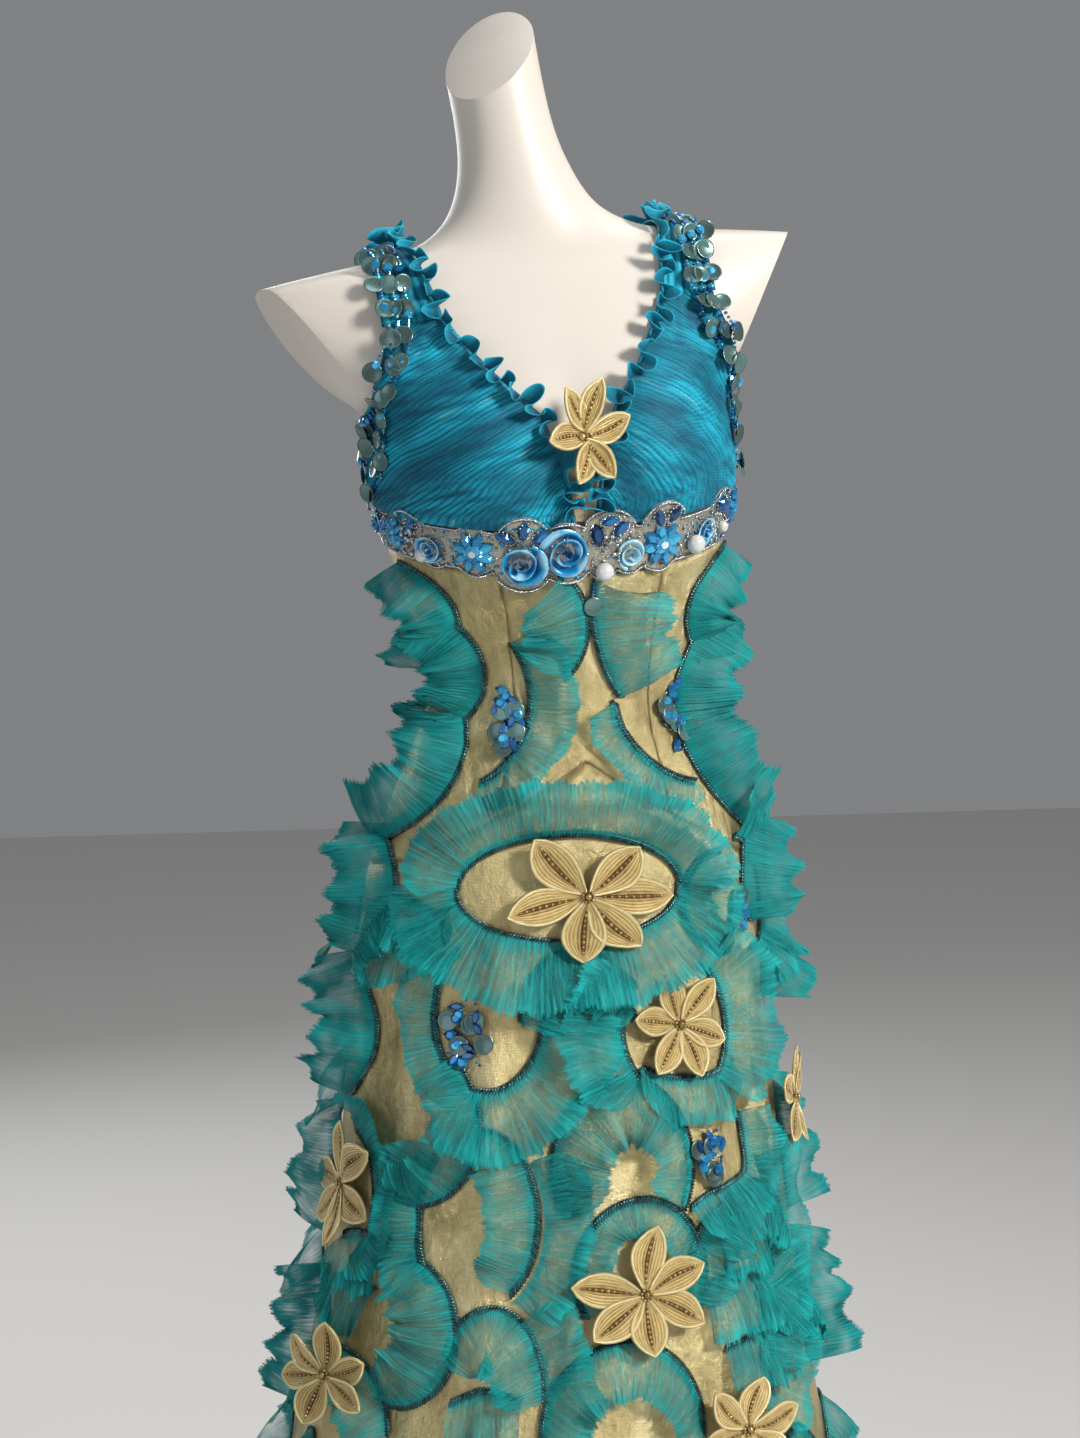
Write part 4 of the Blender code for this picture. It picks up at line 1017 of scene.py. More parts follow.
def frill(name, organza, root, away, width, first, curl, waves, node=None, seed=0, rows=9, pitch=PITCH):
    """A frill of pleated organza: its seam on the gown along a line, its edge standing off.

    away is 1 or -1 for a frill square to its line, or 0 for one that hangs straight down. It
    leaves the gown at the first angle and turns by the curl, both in degrees.
    """
    line = np.linspace(0, 1, 300)
    seam = on_cloth(*root(line), 0.0)[0]
    length = np.linalg.norm(np.diff(seam, axis=0), axis=1).sum()
    pleats = max(round(length / pitch), 6)
    straighter, mean_along, mean_rise = straightened(root, away, width / length)
    share, out = np.meshgrid(np.linspace(0, 1, 4 * pleats + 1), np.linspace(0, 1, rows))
    step = 1e-3
    angle, height = root(share)
    after, before = root(share + step), root(share - step)
    along = (after[0] - before[0]) * reach(GOWN, angle, height)
    rise = after[1] - before[1]
    straight = np.hypot(along, rise)
    phase = share * pleats + 1.3 * soft_noise(share * 17, out * 1.2, seed + 3)
    tall = 0.45 + 0.55 * soft_noise(phase * 0.31, 0 * phase, seed + 4)
    fold = folded_edge(phase) * tall
    flat, stand = fallen(width, first, curl, rows)
    uneven = 1 + 0.12 * soft_noise(share * 9, 0 * share, seed)
    uneven = uneven + 0.04 * np.sin(np.floor(phase) * 7.31 + seed) * (out > 0.98)
    ends = np.clip(np.minimum(share, 1 - share) * length / 0.022, 0, 1)
    uneven = uneven * (0.45 + 0.55 * np.sqrt(ends * (2 - ends)))
    spread = flat * uneven
    lean = 0.007 * out * soft_noise(share * 10, out, seed + 9)
    if away:
        along = along / straight + straighter * (mean_along - along / straight)
        rise = rise / straight + straighter * (mean_rise - rise / straight)
        height = height - away * spread * along + lean * rise
        angle = angle + (away * spread * rise + lean * along) / reach(GOWN, angle, height)
    else:
        height = height - spread
        angle = angle + lean / reach(GOWN, angle, height)
    big = np.cos(2 * math.pi * waves * share + seed)
    big = big + 0.45 * soft_noise(share * waves * 3, 0 * share, seed + 5)
    ripple = soft_noise(share * length * 420, out * 1.5, seed + 6)
    off = stand * (1 + 0.08 * big * out) + 0.0030 * out * big + 0.0016 * ripple * np.sqrt(out)
    off = np.maximum(off, 0.0012 + 0.0030 * out + 0.0010 * (1 + ripple) * out)
    points = on_cloth(angle, height, 0.0012 + off + (0.0002 + 0.0007 * out) * fold)[0]
    # The organza paints points lighter on the crests of the pleats and of the big waves and darker in the
    # folds: painted light and painted shade.
    crest = (0.5 + 0.5 * fold) * (0.78 + 0.22 * np.clip(big, -1, 1))
    made = cloth_grid(name, organza, points, share * length * FULLNESS, out * width, crest=crest, edge=out)
    declared(node, points)


def ellipse(turn, middle, half_across, half_up, start, sweep):
    """Part of an oval line on the gown, from its start angle through its sweep."""
    turn = math.radians(turn)
    radius = reach(GOWN, np.array(turn), np.array(middle))

    def root(share):
        way = np.radians(start + sweep * share)
        return turn + half_across / radius * np.cos(way), middle + half_up * np.sin(way)

    return root


def drawn(spots):
    """A smooth line through spots given as angle and height."""
    curve = smoothed([(math.radians(turn), height) for turn, height in spots], 12)
    steps = np.hypot(np.diff(curve[:, 0]) * 0.12, np.diff(curve[:, 1]))
    share_of = np.concatenate([[0], steps.cumsum()]) / steps.sum()

    def root(share):
        inside = np.clip(share, 0, 1)
        angle, height = (np.interp(inside, share_of, curve[:, k]) for k in range(2))
        over = (share - inside) * steps.sum() / steps[0]
        under = (share - inside) * steps.sum() / steps[-1]
        first, last = curve[1] - curve[0], curve[-1] - curve[-2]
        angle = angle + np.where(share < 0, over * first[0], 0) + np.where(share > 1, under * last[0], 0)
        height = height + np.where(share < 0, over * first[1], 0) + np.where(share > 1, under * last[1], 0)
        return angle, height

    return root


# Each arc: angle and height of its middle, half width and height, start, sweep, which way it
# falls, width of the frill, the angle at which it leaves the gown, and its curl
ARCS = (
    ("frill_bodice_right", -22, 1.130, 0.046, 0.054, -50, 104, -1, 0.058, 36, -30),
    ("frill_bodice_low", -46, 1.068, 0.040, 0.072, -72, 116, 1, 0.038, 32, -28),
    ("frill_bodice_left", 58, 1.150, 0.100, 0.125, 172, 48, -1, 0.060, 34, -28),
    ("frill_side_left", 98, 1.046, 0.072, 0.104, 112, 140, -1, 0.052, 62, -20),
    ("frill_side_right", -98, 1.020, 0.072, 0.078, -100, 128, -1, 0.054, 55, -25),
    ("frill_underarm_right", -94, 1.142, 0.060, 0.050, -80, 150, -1, 0.048, 52, -20),
    ("frill_hip_top", -5.5, 0.916, 0.096, 0.044, 0, 180, 1, 0.052, 58, -60),
    ("frill_hip_bottom", -6, 0.916, 0.096, 0.044, 180, 180, 1, 0.062, 38, -34),
    ("frill_hip_left", 58, 0.900, 0.040, 0.046, -90, 180, 1, 0.050, 45, -30),
    ("frill_thigh_right", -100, 0.790, 0.078, 0.064, -66, 142, -1, 0.054, 60, -20),
    ("frill_thigh_left", 25, 0.796, 0.050, 0.056, 135, 90, 1, 0.056, 34, -30),
    ("frill_big_arch", 7, 0.692, 0.059, 0.068, -35, 250, -1, 0.070, 30, -34),
    ("frill_ball_right", -49, 0.722, 0.050, 0.064, -110, 170, -1, 0.052, 40, -44),
    ("frill_lower_arch", 10, 0.604, 0.056, 0.060, -30, 240, -1, 0.030, 12, -12),
    ("frill_bottom_arch", 4, 0.484, 0.069, 0.069, -10, 200, -1, 0.058, 32, -34),
    ("frill_low_ball_right", -50, 0.556, 0.048, 0.060, -110, 200, -1, 0.064, 34, -38),
    ("frill_arch_left", 44, 0.604, 0.054, 0.058, 0, 170, -1, 0.054, 36, -30),
    ("frill_outer_left", 96, 0.790, 0.078, 0.072, 84, 80, -1, 0.054, 62, -20),
)
# Frills between them, which are too many for solids of their own
SMALL_ARCS = (
    ("frill_bodice_left_low", 50, 1.075, 0.062, 0.080, 186, 76, 1, 0.030, 30, -28),
    ("frill_side_right_upper", -84, 1.092, 0.060, 0.062, -70, 130, -1, 0.050, 50, -22),
    ("frill_side_left_upper", 92, 1.140, 0.062, 0.050, 110, 140, -1, 0.044, 50, -22),
    ("frill_loop_right", 45, 0.896, 0.040, 0.042, 80, 200, -1, 0.036, 30, -34),
    ("frill_left_arch", -61, 0.852, 0.050, 0.053, 30, 160, -1, 0.056, 36, -30),
    ("frill_cluster_loop", -29, 0.812, 0.044, 0.060, 246, 124, 1, 0.062, 30, -26),
    ("frill_cluster_side", -29, 0.812, 0.044, 0.060, 120, 128, 1, 0.032, 36, -34),
    ("frill_flower_loop", 24, 0.796, 0.052, 0.057, -50, 110, 1, 0.056, 34, -30),
    ("frill_middle_fall", -4, 0.806, 0.046, 0.060, 0, 180, -1, 0.060, 26, -26),
    ("frill_shield", -30, 0.652, 0.046, 0.070, -58, 148, -1, 0.044, 28, -30),
    ("frill_shield_left", -34, 0.648, 0.040, 0.066, 130, 100, 1, 0.040, 36, -34),
    ("frill_shield_right", -29, 0.650, 0.048, 0.072, -60, 100, 1, 0.040, 26, -26),
    ("frill_small_arch", -26, 0.520, 0.042, 0.062, -10, 170, -1, 0.060, 28, -32),
    ("frill_small_arch_right", -26, 0.510, 0.044, 0.068, -20, 80, 1, 0.044, 28, -26),
    ("frill_left_loop", -84, 0.652, 0.052, 0.066, 80, -130, -1, 0.034, 40, -30),
    ("frill_low_left", 60, 0.504, 0.060, 0.070, 10, 165, -1, 0.056, 36, -30),
    ("frill_right_fall", 40, 0.640, 0.044, 0.070, -80, 115, 1, 0.052, 32, -28),
    ("frill_right_hang", 36, 0.586, 0.046, 0.064, 60, 130, -1, 0.046, 28, -26),
    ("frill_low_fall", 34, 0.540, 0.046, 0.062, -70, 130, 1, 0.052, 34, -30),
    ("frill_left_low", -70, 0.470, 0.060, 0.060, 0, 180, -1, 0.054, 42, -30),
    ("frill_outer_left_2", 104, 0.652, 0.070, 0.072, 84, 130, -1, 0.054, 58, -20),
    ("frill_outer_left_3", 90, 0.520, 0.076, 0.072, 84, 120, -1, 0.054, 58, -20),
    ("frill_outer_left_hip", 92, 0.900, 0.070, 0.062, 84, 120, -1, 0.050, 58, -20),
    ("frill_outer_right_hip", -98, 0.900, 0.072, 0.062, -50, 120, -1, 0.052, 58, -20),
    ("frill_outer_right_2", -120, 0.650, 0.074, 0.066, -60, 130, -1, 0.054, 58, -20),
    ("frill_outer_right_3", -100, 0.520, 0.076, 0.066, -60, 130, -1, 0.054, 58, -20),
)
# Frills on lines that no ellipse follows: their spots as angle and height, which way they
# fall, width, the angle at which they leave the gown, and their curl
DRAWN = (
    ("frill_under_flower", ((12, 0.768), (21, 0.758), (32, 0.756), (44, 0.762)), 0, 0.042, 28, -26),
    (
        "frill_small_loop",
        ((24, 0.652), (31, 0.662), (44, 0.672), (45, 0.700), (44, 0.722)),
        1, 0.040, 34, -30,
    ),
    ("frill_hip_side", ((-40, 0.905), (-47, 0.890), (-58, 0.876), (-70, 0.868)), 0, 0.050, 34, -30),
    ("frill_tier_left_1", ((29, 0.634), (37, 0.640), (47, 0.632)), 0, 0.054, 28, -26),
    ("frill_tier_left_2", ((25, 0.586), (35, 0.594), (48, 0.586)), 0, 0.054, 28, -26),
    ("frill_tier_left_3", ((30, 0.536), (42, 0.542), (55, 0.534)), 0, 0.050, 28, -26),
    ("frill_tier_arch", ((-35, 0.506), (-27, 0.518), (-19, 0.510)), 0, 0.054, 24, -22),
    ("frill_tier_right_1", ((-77, 0.618), (-68, 0.626), (-57, 0.620)), 0, 0.050, 30, -26),
    ("frill_tier_right_2", ((-80, 0.580), (-70, 0.588), (-60, 0.582)), 0, 0.046, 30, -26),
)
# Scalloped rows: angles of the two ends, height of the dips, number of arches and their rise
ROWS = (
    ("frill_row_front_upper", -90, 90, 0.300, 6, 0.066),
    ("frill_row_front_lower", -90, 90, 0.120, 6, 0.066),
    ("frill_row_back_right_1", -176.25, -101.25, 0.860, 2, 0.060),
    ("frill_row_back_left_1", 101.25, 176.25, 0.860, 2, 0.060),
    ("frill_row_back_right_2", -176.25, -101.25, 0.560, 2, 0.060),
    ("frill_row_back_left_2", 101.25, 176.25, 0.560, 2, 0.060),
    ("frill_row_back_right_3", -176.25, -101.25, 0.210, 3, 0.066),
    ("frill_row_back_left_3", 101.25, 176.25, 0.210, 3, 0.066),
)


DOUBLED_AND_SHADED = 75                  # beyond this angle the frills are of doubled organza, denser, and its colours darker as painted shade on the gown's sides
# Frills sewn on beside another's seam, under the same cord
SECOND_ROWS = ("frill_shield_right", "frill_small_arch_right")
CORD_RADIUS, BUGLE_PITCH = 0.0021, 0.0026
BUGLE = (0.0013, 0.0018, 0.0039)


# Rows between them, which are too many for solids of their own
MORE_ROWS = (
    ("frill_row_back_right_upper", -176.25, -101.25, 0.712, 2, 0.060),
    ("frill_row_back_left_upper", 101.25, 176.25, 0.712, 2, 0.060),
    ("frill_row_back_right_lower", -176.25, -101.25, 0.385, 3, 0.066),
    ("frill_row_back_left_lower", 101.25, 176.25, 0.385, 3, 0.066),
    ("frill_row_front_middle", -92, 92, 0.210, 7, 0.066),
    ("frill_row_front_top", -92, 92, 0.385, 7, 0.066),
)


ROW_WIDTH, ROW_FIRST, ROW_CURL, ROW_PITCH = 0.052, 50, -30, 0.0036


def scalloped(start, end, height, arches, rise):
    """A line of arches round the gown; share runs along it from 0 to 1."""

    def root(share):
        angle = np.radians(start + (end - start) * share)
        return angle, height + rise * (np.sin(math.pi * arches * share) ** 2 + 0.0004) ** 0.4

    return root


def frills(organza, doubled_organza_painted_shade, cord_beads):
    """Every frill of the tables, each with its cord of beads over the seam."""
    for number, (name, *spot, start, sweep, away, width, first, curl) in enumerate(ARCS + SMALL_ARCS):
        node = name if number < len(ARCS) else None
        root = ellipse(*spot, start, sweep)
        waves = max(2, round(abs(sweep) / 38))
        cloth = doubled_organza_painted_shade if abs(spot[0]) > DOUBLED_AND_SHADED else organza
        frill(name + "_cloth", cloth, root, away, width, first, curl, waves, node, number)
        if name not in SECOND_ROWS:
            cord_along(cord_beads, root)
    for number, (name, spots, away, width, first, curl) in enumerate(DRAWN):
        root = drawn(spots)
        frill(name + "_cloth", organza, root, away, width, first, curl, 3, None, 80 + number)
        cord_along(cord_beads, root)
    for number, (name, start, end, height, arches, rise) in enumerate(ROWS + MORE_ROWS):
        root = scalloped(start, end, height, arches, rise)
        waves = round((end - start) / 15)
        node = name if number < len(ROWS) else None
        shape = (0, ROW_WIDTH, ROW_FIRST, ROW_CURL, waves, node, 60 + number, 6, ROW_PITCH)
        frill(name + "_cloth", organza, root, *shape)
        cord_along(cord_beads, root)


def cord_along(heap, root):
    """A round of slanting bugle beads sewn over the seam of a frill."""
    line = np.linspace(0, 1, 400)
    seam = on_cloth(*root(line), CORD_RADIUS)[0]
    length = np.concatenate([[0], np.linalg.norm(np.diff(seam, axis=0), axis=1).cumsum()])
    many = max(int(length[-1] / BUGLE_PITCH), 4)
    at = np.interp((np.arange(many) + 0.5) / many * length[-1], length, line)
    middle, *axes = on_cloth(*root(at), CORD_RADIUS)
    out = axes[2]
    ahead = on_cloth(*root(at + 1e-3), CORD_RADIUS)[0] - on_cloth(*root(at - 1e-3), CORD_RADIUS)[0]
    ahead /= np.linalg.norm(ahead, axis=1, keepdims=True)
    aside = np.cross(out, ahead)
    slant = ahead * 0.62 + aside * 0.78
    other = np.cross(slant, out)
    frames = np.stack([other, out, slant], axis=1)
    heap.add(TEMPLATES["bugle"], middle, frames, BUGLE)


NECK_CURLS, RUCHE_HIGH = 17, 0.0140
# It is fuller on the strap, beyond the first share of its length, and low down, below the second
RUCHE_BACK, RUCHE_LOW = 0.74, 0.20


def neck_line(hand, share, extra):
    """The seam of a neck ruche: up the cup's inner edge and over the shoulder."""
    cup_share = np.clip(share / FRILL_ON_CUP, 0, 1)
    height = UNDERBUST_FRONT + BAND_HALF + 0.012
    height = height + (CUP_TOP - 0.002 - height) * cup_share
    side = neckline(height) + FRILL_INSET
    lift = CLEARANCE + CUP_WALL + CUP_PLEAT + 0.0006 + extra
    on_cup = placed(FORM, hand * side_angle(side, height), height, lift)
    lane = STRAP_IN + 0.004 - STRAP_TAPER * np.clip(1 - (share - FRILL_ON_CUP) * 5, 0, 1)
    crest = np.interp(-lane, -UPPER[:, 1], UPPER[:, 0])
    first = -np.arccos((CUP_TOP + 0.004 - STRAP_LOW) / (crest - STRAP_LOW))
    over = np.clip((share - FRILL_ON_CUP) / (1 - FRILL_ON_CUP), 0, 1)
    arch = first + (0.5 - first) * over
    lift = CLEARANCE + STRAP_CLOTH + 0.0008 + 0.0015 * (1 - over) + extra
    on_strap = over_shoulder(hand, lane, arch, lift)
    blend = np.clip((share - FRILL_ON_CUP) / 0.05 + 0.5, 0, 1)[..., None]
    return on_cup * (1 - blend) + on_strap * blend


def neck_frills(chiffon):
    """A narrow ruche on each neck edge, so full that its edge winds to and fro in curls."""
    for node, hand in (("neck_frill_right", -1), ("neck_frill_left", 1)):
        line = np.linspace(0, 1, 480)
        seam = neck_line(hand, line, 0.0)
        length = np.concatenate([[0], np.linalg.norm(np.diff(seam, axis=0), axis=1).cumsum()])
        line = np.interp(np.linspace(0, length[-1], 480), length, line)
        seam = neck_line(hand, line, 0.0)
        ahead = np.gradient(seam, axis=0)
        ahead /= np.linalg.norm(ahead, axis=1, keepdims=True)
        out_of = neck_line(hand, line, 0.001) - seam
        out_of -= ahead * np.sum(out_of * ahead, axis=1, keepdims=True)
        out_of /= np.linalg.norm(out_of, axis=1, keepdims=True)
        inward = np.cross(ahead, out_of) * -hand
        share, out = np.meshgrid(np.linspace(0, 1, 480), np.linspace(0, 1, 9))
        way = 2 * math.pi * (NECK_CURLS * share + 0.75 * soft_noise(share * 13, 0 * share, 61 + hand))
        pitch = length[-1] / NECK_CURLS
        full = 0.80 + 0.30 * soft_noise(share * 30, 0 * share, 65 + hand)
        low = np.clip((RUCHE_LOW - share) / 0.08, 0, 1)
        full = full + 0.35 * np.clip((share - RUCHE_BACK) / 0.08, 0, 1) + 0.30 * low
        bend = np.sin(way) + 0.38 * np.sin(1.63 * way + 2) - 0.28
        swing = 0.50 * pitch * full * bend * out**0.7
        shift = -0.17 * pitch * full * np.sin(2 * way) * out**0.8
        high = RUCHE_HIGH * full * out * (0.85 + 0.25 * soft_noise(share * 60, out, 67 + hand))
        lean = 0.0020 * out * (1 + 0.5 * soft_noise(share * 22, 0 * share, 69 + hand))
        lean = lean + 0.0060 * out * low
        curl = 0.0022 * full * np.sin(way * 3.1 + 1) * out**2
        points = seam + out_of * (high + curl)[..., None] + inward * (lean + swing)[..., None]
        points = points + ahead * shift[..., None]
        # Painted shade low by the seam and in the inner turns of the curls, and a painted highlight on the
        # rolled edge.
        tone = np.clip(0.05 + 0.50 * out + 0.28 * np.cos(way * 2 + 1) * out + 0.55 * (out > 0.9), 0, 1)
        flat = (share * 0.5, out * 0.02)
        made = cloth_grid(node + "_cloth", chiffon, points, *flat, crest=tone, thick=0.0004)
        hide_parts(node)
        wide, tall = spans(points)
        area = min(grid_area(points), wide * tall)


# Flowers: angle, height, radius across and up, and the direction of each petal
FLOWERS = (
    ("flower_hip", -1, 0.910, 0.066, 0.056, (196, 130, 47, -2, -52, -95)),
    ("flower_thigh_left", 24, 0.800, 0.042, 0.044, (171, 104, 49, -24, -75, -124)),
    ("flower_outer_left", 78, 0.714, 0.046, 0.046, (150, 85, 30, -30, -80, -140)),
    ("flower_right", -80, 0.660, 0.054, 0.052, (185, 92, 40, -25, -85, -130)),
    ("flower_lower", 9, 0.590, 0.056, 0.052, (169, 78, 22, -33, -90, -141)),
    ("flower_back_right", -140, 0.800, 0.056, 0.052, (0, 60, 120, 180, 240, 300)),
    ("flower_back_left", 140, 0.456, 0.056, 0.052, (24, 84, 144, 204, 264, 324)),
)
# Flowers that are too many for solids of their own
SMALL_FLOWERS = (
    ("flower_small_right", -66, 0.512, 0.048, 0.040, (30, 90, 150, 205, 262, 330)),
    ("flower_small_left", 31, 0.472, 0.044, 0.044, (10, 75, 130, 190, 250, 310)),
)
TILTED = {"flower_outer_left": 0.24}      # lifted by the frills under its outer half
# Flowers that lie on a frill
RAISED = {"flower_small_right": 0.020, "flower_small_left": 0.008, "flower_lower": 0.002}
# The smaller flower on the bust
BUST_PETALS = (184, 121, 61, 14, -52, -124)
BUST_FLOWER_HEIGHT, BUST_FLOWER_LIFT = 1.279, 0.0175


def petal_flower(node, gilt, beads, place, radius_across, radius_up, turns, seed, broad=0.262):
    """Pointed petals of gold embroidery, each with a row of beads along its vein."""
    draw = np.random.default_rng(seed)
    petals = len(turns)
    lengths = draw.uniform(0.90, 1.08, petals)
    tips = draw.uniform(0.5, 1.3, petals)
    bends = draw.uniform(-0.07, 0.07, petals)

    def petal_spot(petal, along, aside, extra=0.0):
        """A point of a petal: its share along, and across from -1 to 1."""
        half = broad * np.sin(math.pi * np.clip(along, 0, 1) ** 1.22) ** 0.78 + 0.016 * (1 - along)
        far = (0.04 + 0.96 * along) * lengths[petal]
        off = aside * half + bends[petal] * np.sin(math.pi * along)
        way = math.radians(turns[petal])
        across = radius_across * (far * np.cos(way) - off * np.sin(way))
        up = radius_up * (far * np.sin(way) + off * np.cos(way))
        rim = np.exp(-(((np.abs(aside) - 0.93) / 0.07) ** 2))
        ribs = 0.00022 * np.cos(aside * 5.5 * 2 * math.pi) + 0.0009 * rim
        cupped = 0.0016 * np.abs(aside) ** 1.5 * np.sin(math.pi * along)
        lift = 0.0052 + 0.0085 * tips[petal] * along**1.7 + cupped
        lift = lift + ribs * np.clip(along * 6, 0, 1) + 0.0009 * (petal % 3)
        return place(across, up, lift + extra)

    along, aside = np.meshgrid(np.linspace(0, 1, 11), np.linspace(-1, 1, 37), indexing="ij")
    points = np.concatenate([petal_spot(petal, along, aside)[0] for petal in range(petals)])
    ribs = 0.5 + 0.5 * np.cos(aside * 5.5 * 2 * math.pi)
    vein = np.exp(-((aside / 0.20) ** 2)) * np.clip(along * 5, 0, 1) * np.clip((0.95 - along) * 6, 0, 1)
    rim = np.exp(-(((np.abs(aside) - 0.93) / 0.09) ** 2))
    crest = np.tile(np.clip(0.27 + 0.52 * ribs + 0.32 * rim - 0.58 * vein, 0, 1), (petals, 1))
    lengthwise = np.tile(along * radius_across, (petals, 1))
    widthwise = np.tile(aside * 0.012, (petals, 1))
    flat = (widthwise, lengthwise)
    made = cloth_grid(node + "_cloth", gilt, points, *flat, crest=crest, thick=0.0011, patches=petals)
    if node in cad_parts:
        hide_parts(node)
    area = sum(grid_area(part) for part in np.split(points, petals))
    cut = (2.6 * radius_across, 2.6 * radius_up)
    max(min(area, cut[0] * cut[1]), 0.301 * cut[0] * cut[1])
    for petal in range(petals):
        steps = np.linspace(0.16, 0.84, 9)
        spot = petal_spot(petal, steps, np.zeros(9), 0.0010)
        beads.add(TEMPLATES["bead"], spot[0], np.stack(spot[1:], axis=1), draw.uniform(0.0013, 0.0019, 9))
    ring = np.arange(9) / 9 * 2 * math.pi
    spot = place(0.0042 * np.cos(ring), 0.0042 * np.sin(ring), 0.0090)
    beads.add(TEMPLATES["bead"], spot[0], np.stack(spot[1:], axis=1), 0.0016)
    spot = place(np.zeros(1), np.zeros(1), 0.0102)
    beads.add(TEMPLATES["pearl"], spot[0], np.stack(spot[1:], axis=1), 0.0027)


def flowers(gilt, beads):
    """The flowers of the gown, each laid on its cloth, and the one on the bust."""
    for number, (node, turn, height, wide, tall, twist) in enumerate(FLOWERS + SMALL_FLOWERS):
        middle = math.radians(turn)
        tilt, raised = TILTED.get(node, 0), RAISED.get(node, 0)

        def place(across, up, lift, middle=middle, height=height, tilt=tilt, raised=raised, wide=wide):
            radius = reach(GOWN, np.array(middle), np.array(height))
            lift = lift + raised + tilt * (across + wide)
            return on_cloth(middle + across / radius, height + up, lift)

        petal_flower(node, gilt, beads, place, wide, tall, twist, number + 1)

    def on_bust(across, up, lift):
        height = BUST_FLOWER_HEIGHT + up
        return frame_on(FORM, side_angle(across + 0.003, height), height, BUST_FLOWER_LIFT + lift)

    petal_flower("flower_bust", gilt, beads, on_bust, 0.040, 0.038, BUST_PETALS, 17, 0.235)


# The jewelled band: small round beads along its edges, roses, stone flowers and pearls on it


BAND_DRAWN_IN = 0.0172        # how far the braid reaches from its middle between the motifs
BRAID_LIFT = CLEARANCE + 0.0025
BAND_DRAWS = 700              # small beads strewn over the braid


def band_puff(rise):
    """How far the braid stands off where it reaches over the cups or the bodice."""
    return 0.004 * np.clip((np.abs(rise) - BAND_HALF) / 0.004, 0, 1)


def on_band(angle, rise, lift):
    angle = np.asarray(angle, float)
    lift = BRAID_LIFT + np.asarray(lift) + band_puff(rise)
    return frame_on(GOWN, angle, band_middle(angle) + rise, lift)


def motif_edge(angle, side):
    """How far the band's edge reaches from its middle: full beside a motif, drawn in between."""
    reach_out = np.full(np.shape(angle), BAND_DRAWN_IN)
    for turn, rise, radius in BAND_PATCHES:
        across = (angle - math.radians(turn)) * 0.125
        round_edge = side * rise + np.sqrt(np.clip((radius + 0.003) ** 2 - across**2, 0, 1))
        reach_out = np.maximum(reach_out, np.where(np.abs(across) < radius + 0.003, round_edge, 0))
    return reach_out


def band(braid, heaps):
    """Silver braid, cut round its motifs in front and straight at the back."""
    across, up = np.meshgrid(np.linspace(0, 1, 500), np.linspace(-1, 1, 11))
    angle = -SIDE + 2 * SIDE * across
    rise = np.where(up > 0, motif_edge(angle, 1) * up, motif_edge(angle, -1) * up)
    puff = 0.0014 * (1 - up**4) + 0.0004 * soft_noise(across * 90, up * 6, 12) + band_puff(rise)
    points = placed(GOWN, angle, band_middle(angle) + rise, CLEARANCE + 0.0020 + puff)
    made = cloth_grid("band_front_cloth", braid, points, angle * 0.15, rise, crest=up, thick=0.0012)
    declared("band_front", points)
    for node, start, end in (("band_back_right", -math.pi, -SIDE), ("band_back_left", SIDE, math.pi)):
        across, up = np.meshgrid(np.linspace(0, 1, 90), np.linspace(0, 1, 11))
        angle = start + (end - start) * across
        height = band_bottom(angle) + SEAM / 2 + (2 * BAND_HALF - SEAM) * up
        points = placed(GOWN, angle, height, OUTER - 0.0008 + 0.0012 * np.sin(math.pi * up) ** 0.5)
        made = cloth_grid(node + "_cloth", braid, points, angle * 0.15, height, crest=up, thick=0.0010)
        declared(node, points)
    band_beads(heaps)


def band_beads(heaps):
    """Beads along the cut of the braid, in two rows at the back, and strewn over its front."""
    silver = heaps["silver"]
    for side in (-1, 1):
        turn = np.linspace(-SIDE + 0.01, SIDE - 0.01, 420)
        edge = side * (motif_edge(turn, side) - 0.0008)
        middle, *axes = on_band(turn, edge, 0.0012)
        silver.add(TEMPLATES["bead"], middle, np.stack(axes, axis=1), 0.0012)
        for rise in (-0.0160, 0.0160):
            turn = side * np.linspace(SIDE + 0.01, math.pi - 0.06, 100)
            middle, *axes = on_band(turn, rise, 0.0002)
            silver.add(TEMPLATES["bead"], middle, np.stack(axes, axis=1), 0.0015)
    draw = np.random.default_rng(8)
    turn = draw.uniform(-SIDE + 0.03, SIDE - 0.03, BAND_DRAWS)
    rise = draw.uniform(-0.9, 0.9, BAND_DRAWS)
    rise = np.where(rise > 0, motif_edge(turn, 1) * rise, motif_edge(turn, -1) * rise)
    middle, *axes = on_band(turn, rise, 0.0018)
    kinds = draw.uniform(0, 1, BAND_DRAWS)
    for name, chosen, size in (("silver", kinds < 0.75, 0.0013), ("azure", kinds >= 0.75, 0.0014)):
        frames = np.stack([axis[chosen] for axis in axes], axis=1)
        heaps[name].add(TEMPLATES["bead"], middle[chosen], frames, size)


# Roses: angle, rise over the band's middle, radius and how pale the ribbon is
ROSES = (
    (-55, -0.003, 0.0145, 0.30),
    (-22, -0.009, 0.0205, 0.12),
    (-7, -0.001, 0.0215, 0.08),
    (15.5, -0.005, 0.0135, 0.75),
    (47, 0.001, 0.0130, 0.30),
    (-88, 0.003, 0.013, 0.10),
    (88, 0.003, 0.014, 0.10),
)
# Stone flowers: angle, rise, radius, petals
STONE_FLOWERS = (
    (-38, -0.001, 0.0185, 8),
    (27, 0.000, 0.0195, 8),
    (74, 0.004, 0.0150, 7),
    (-72, 0.004, 0.0140, 7),
)
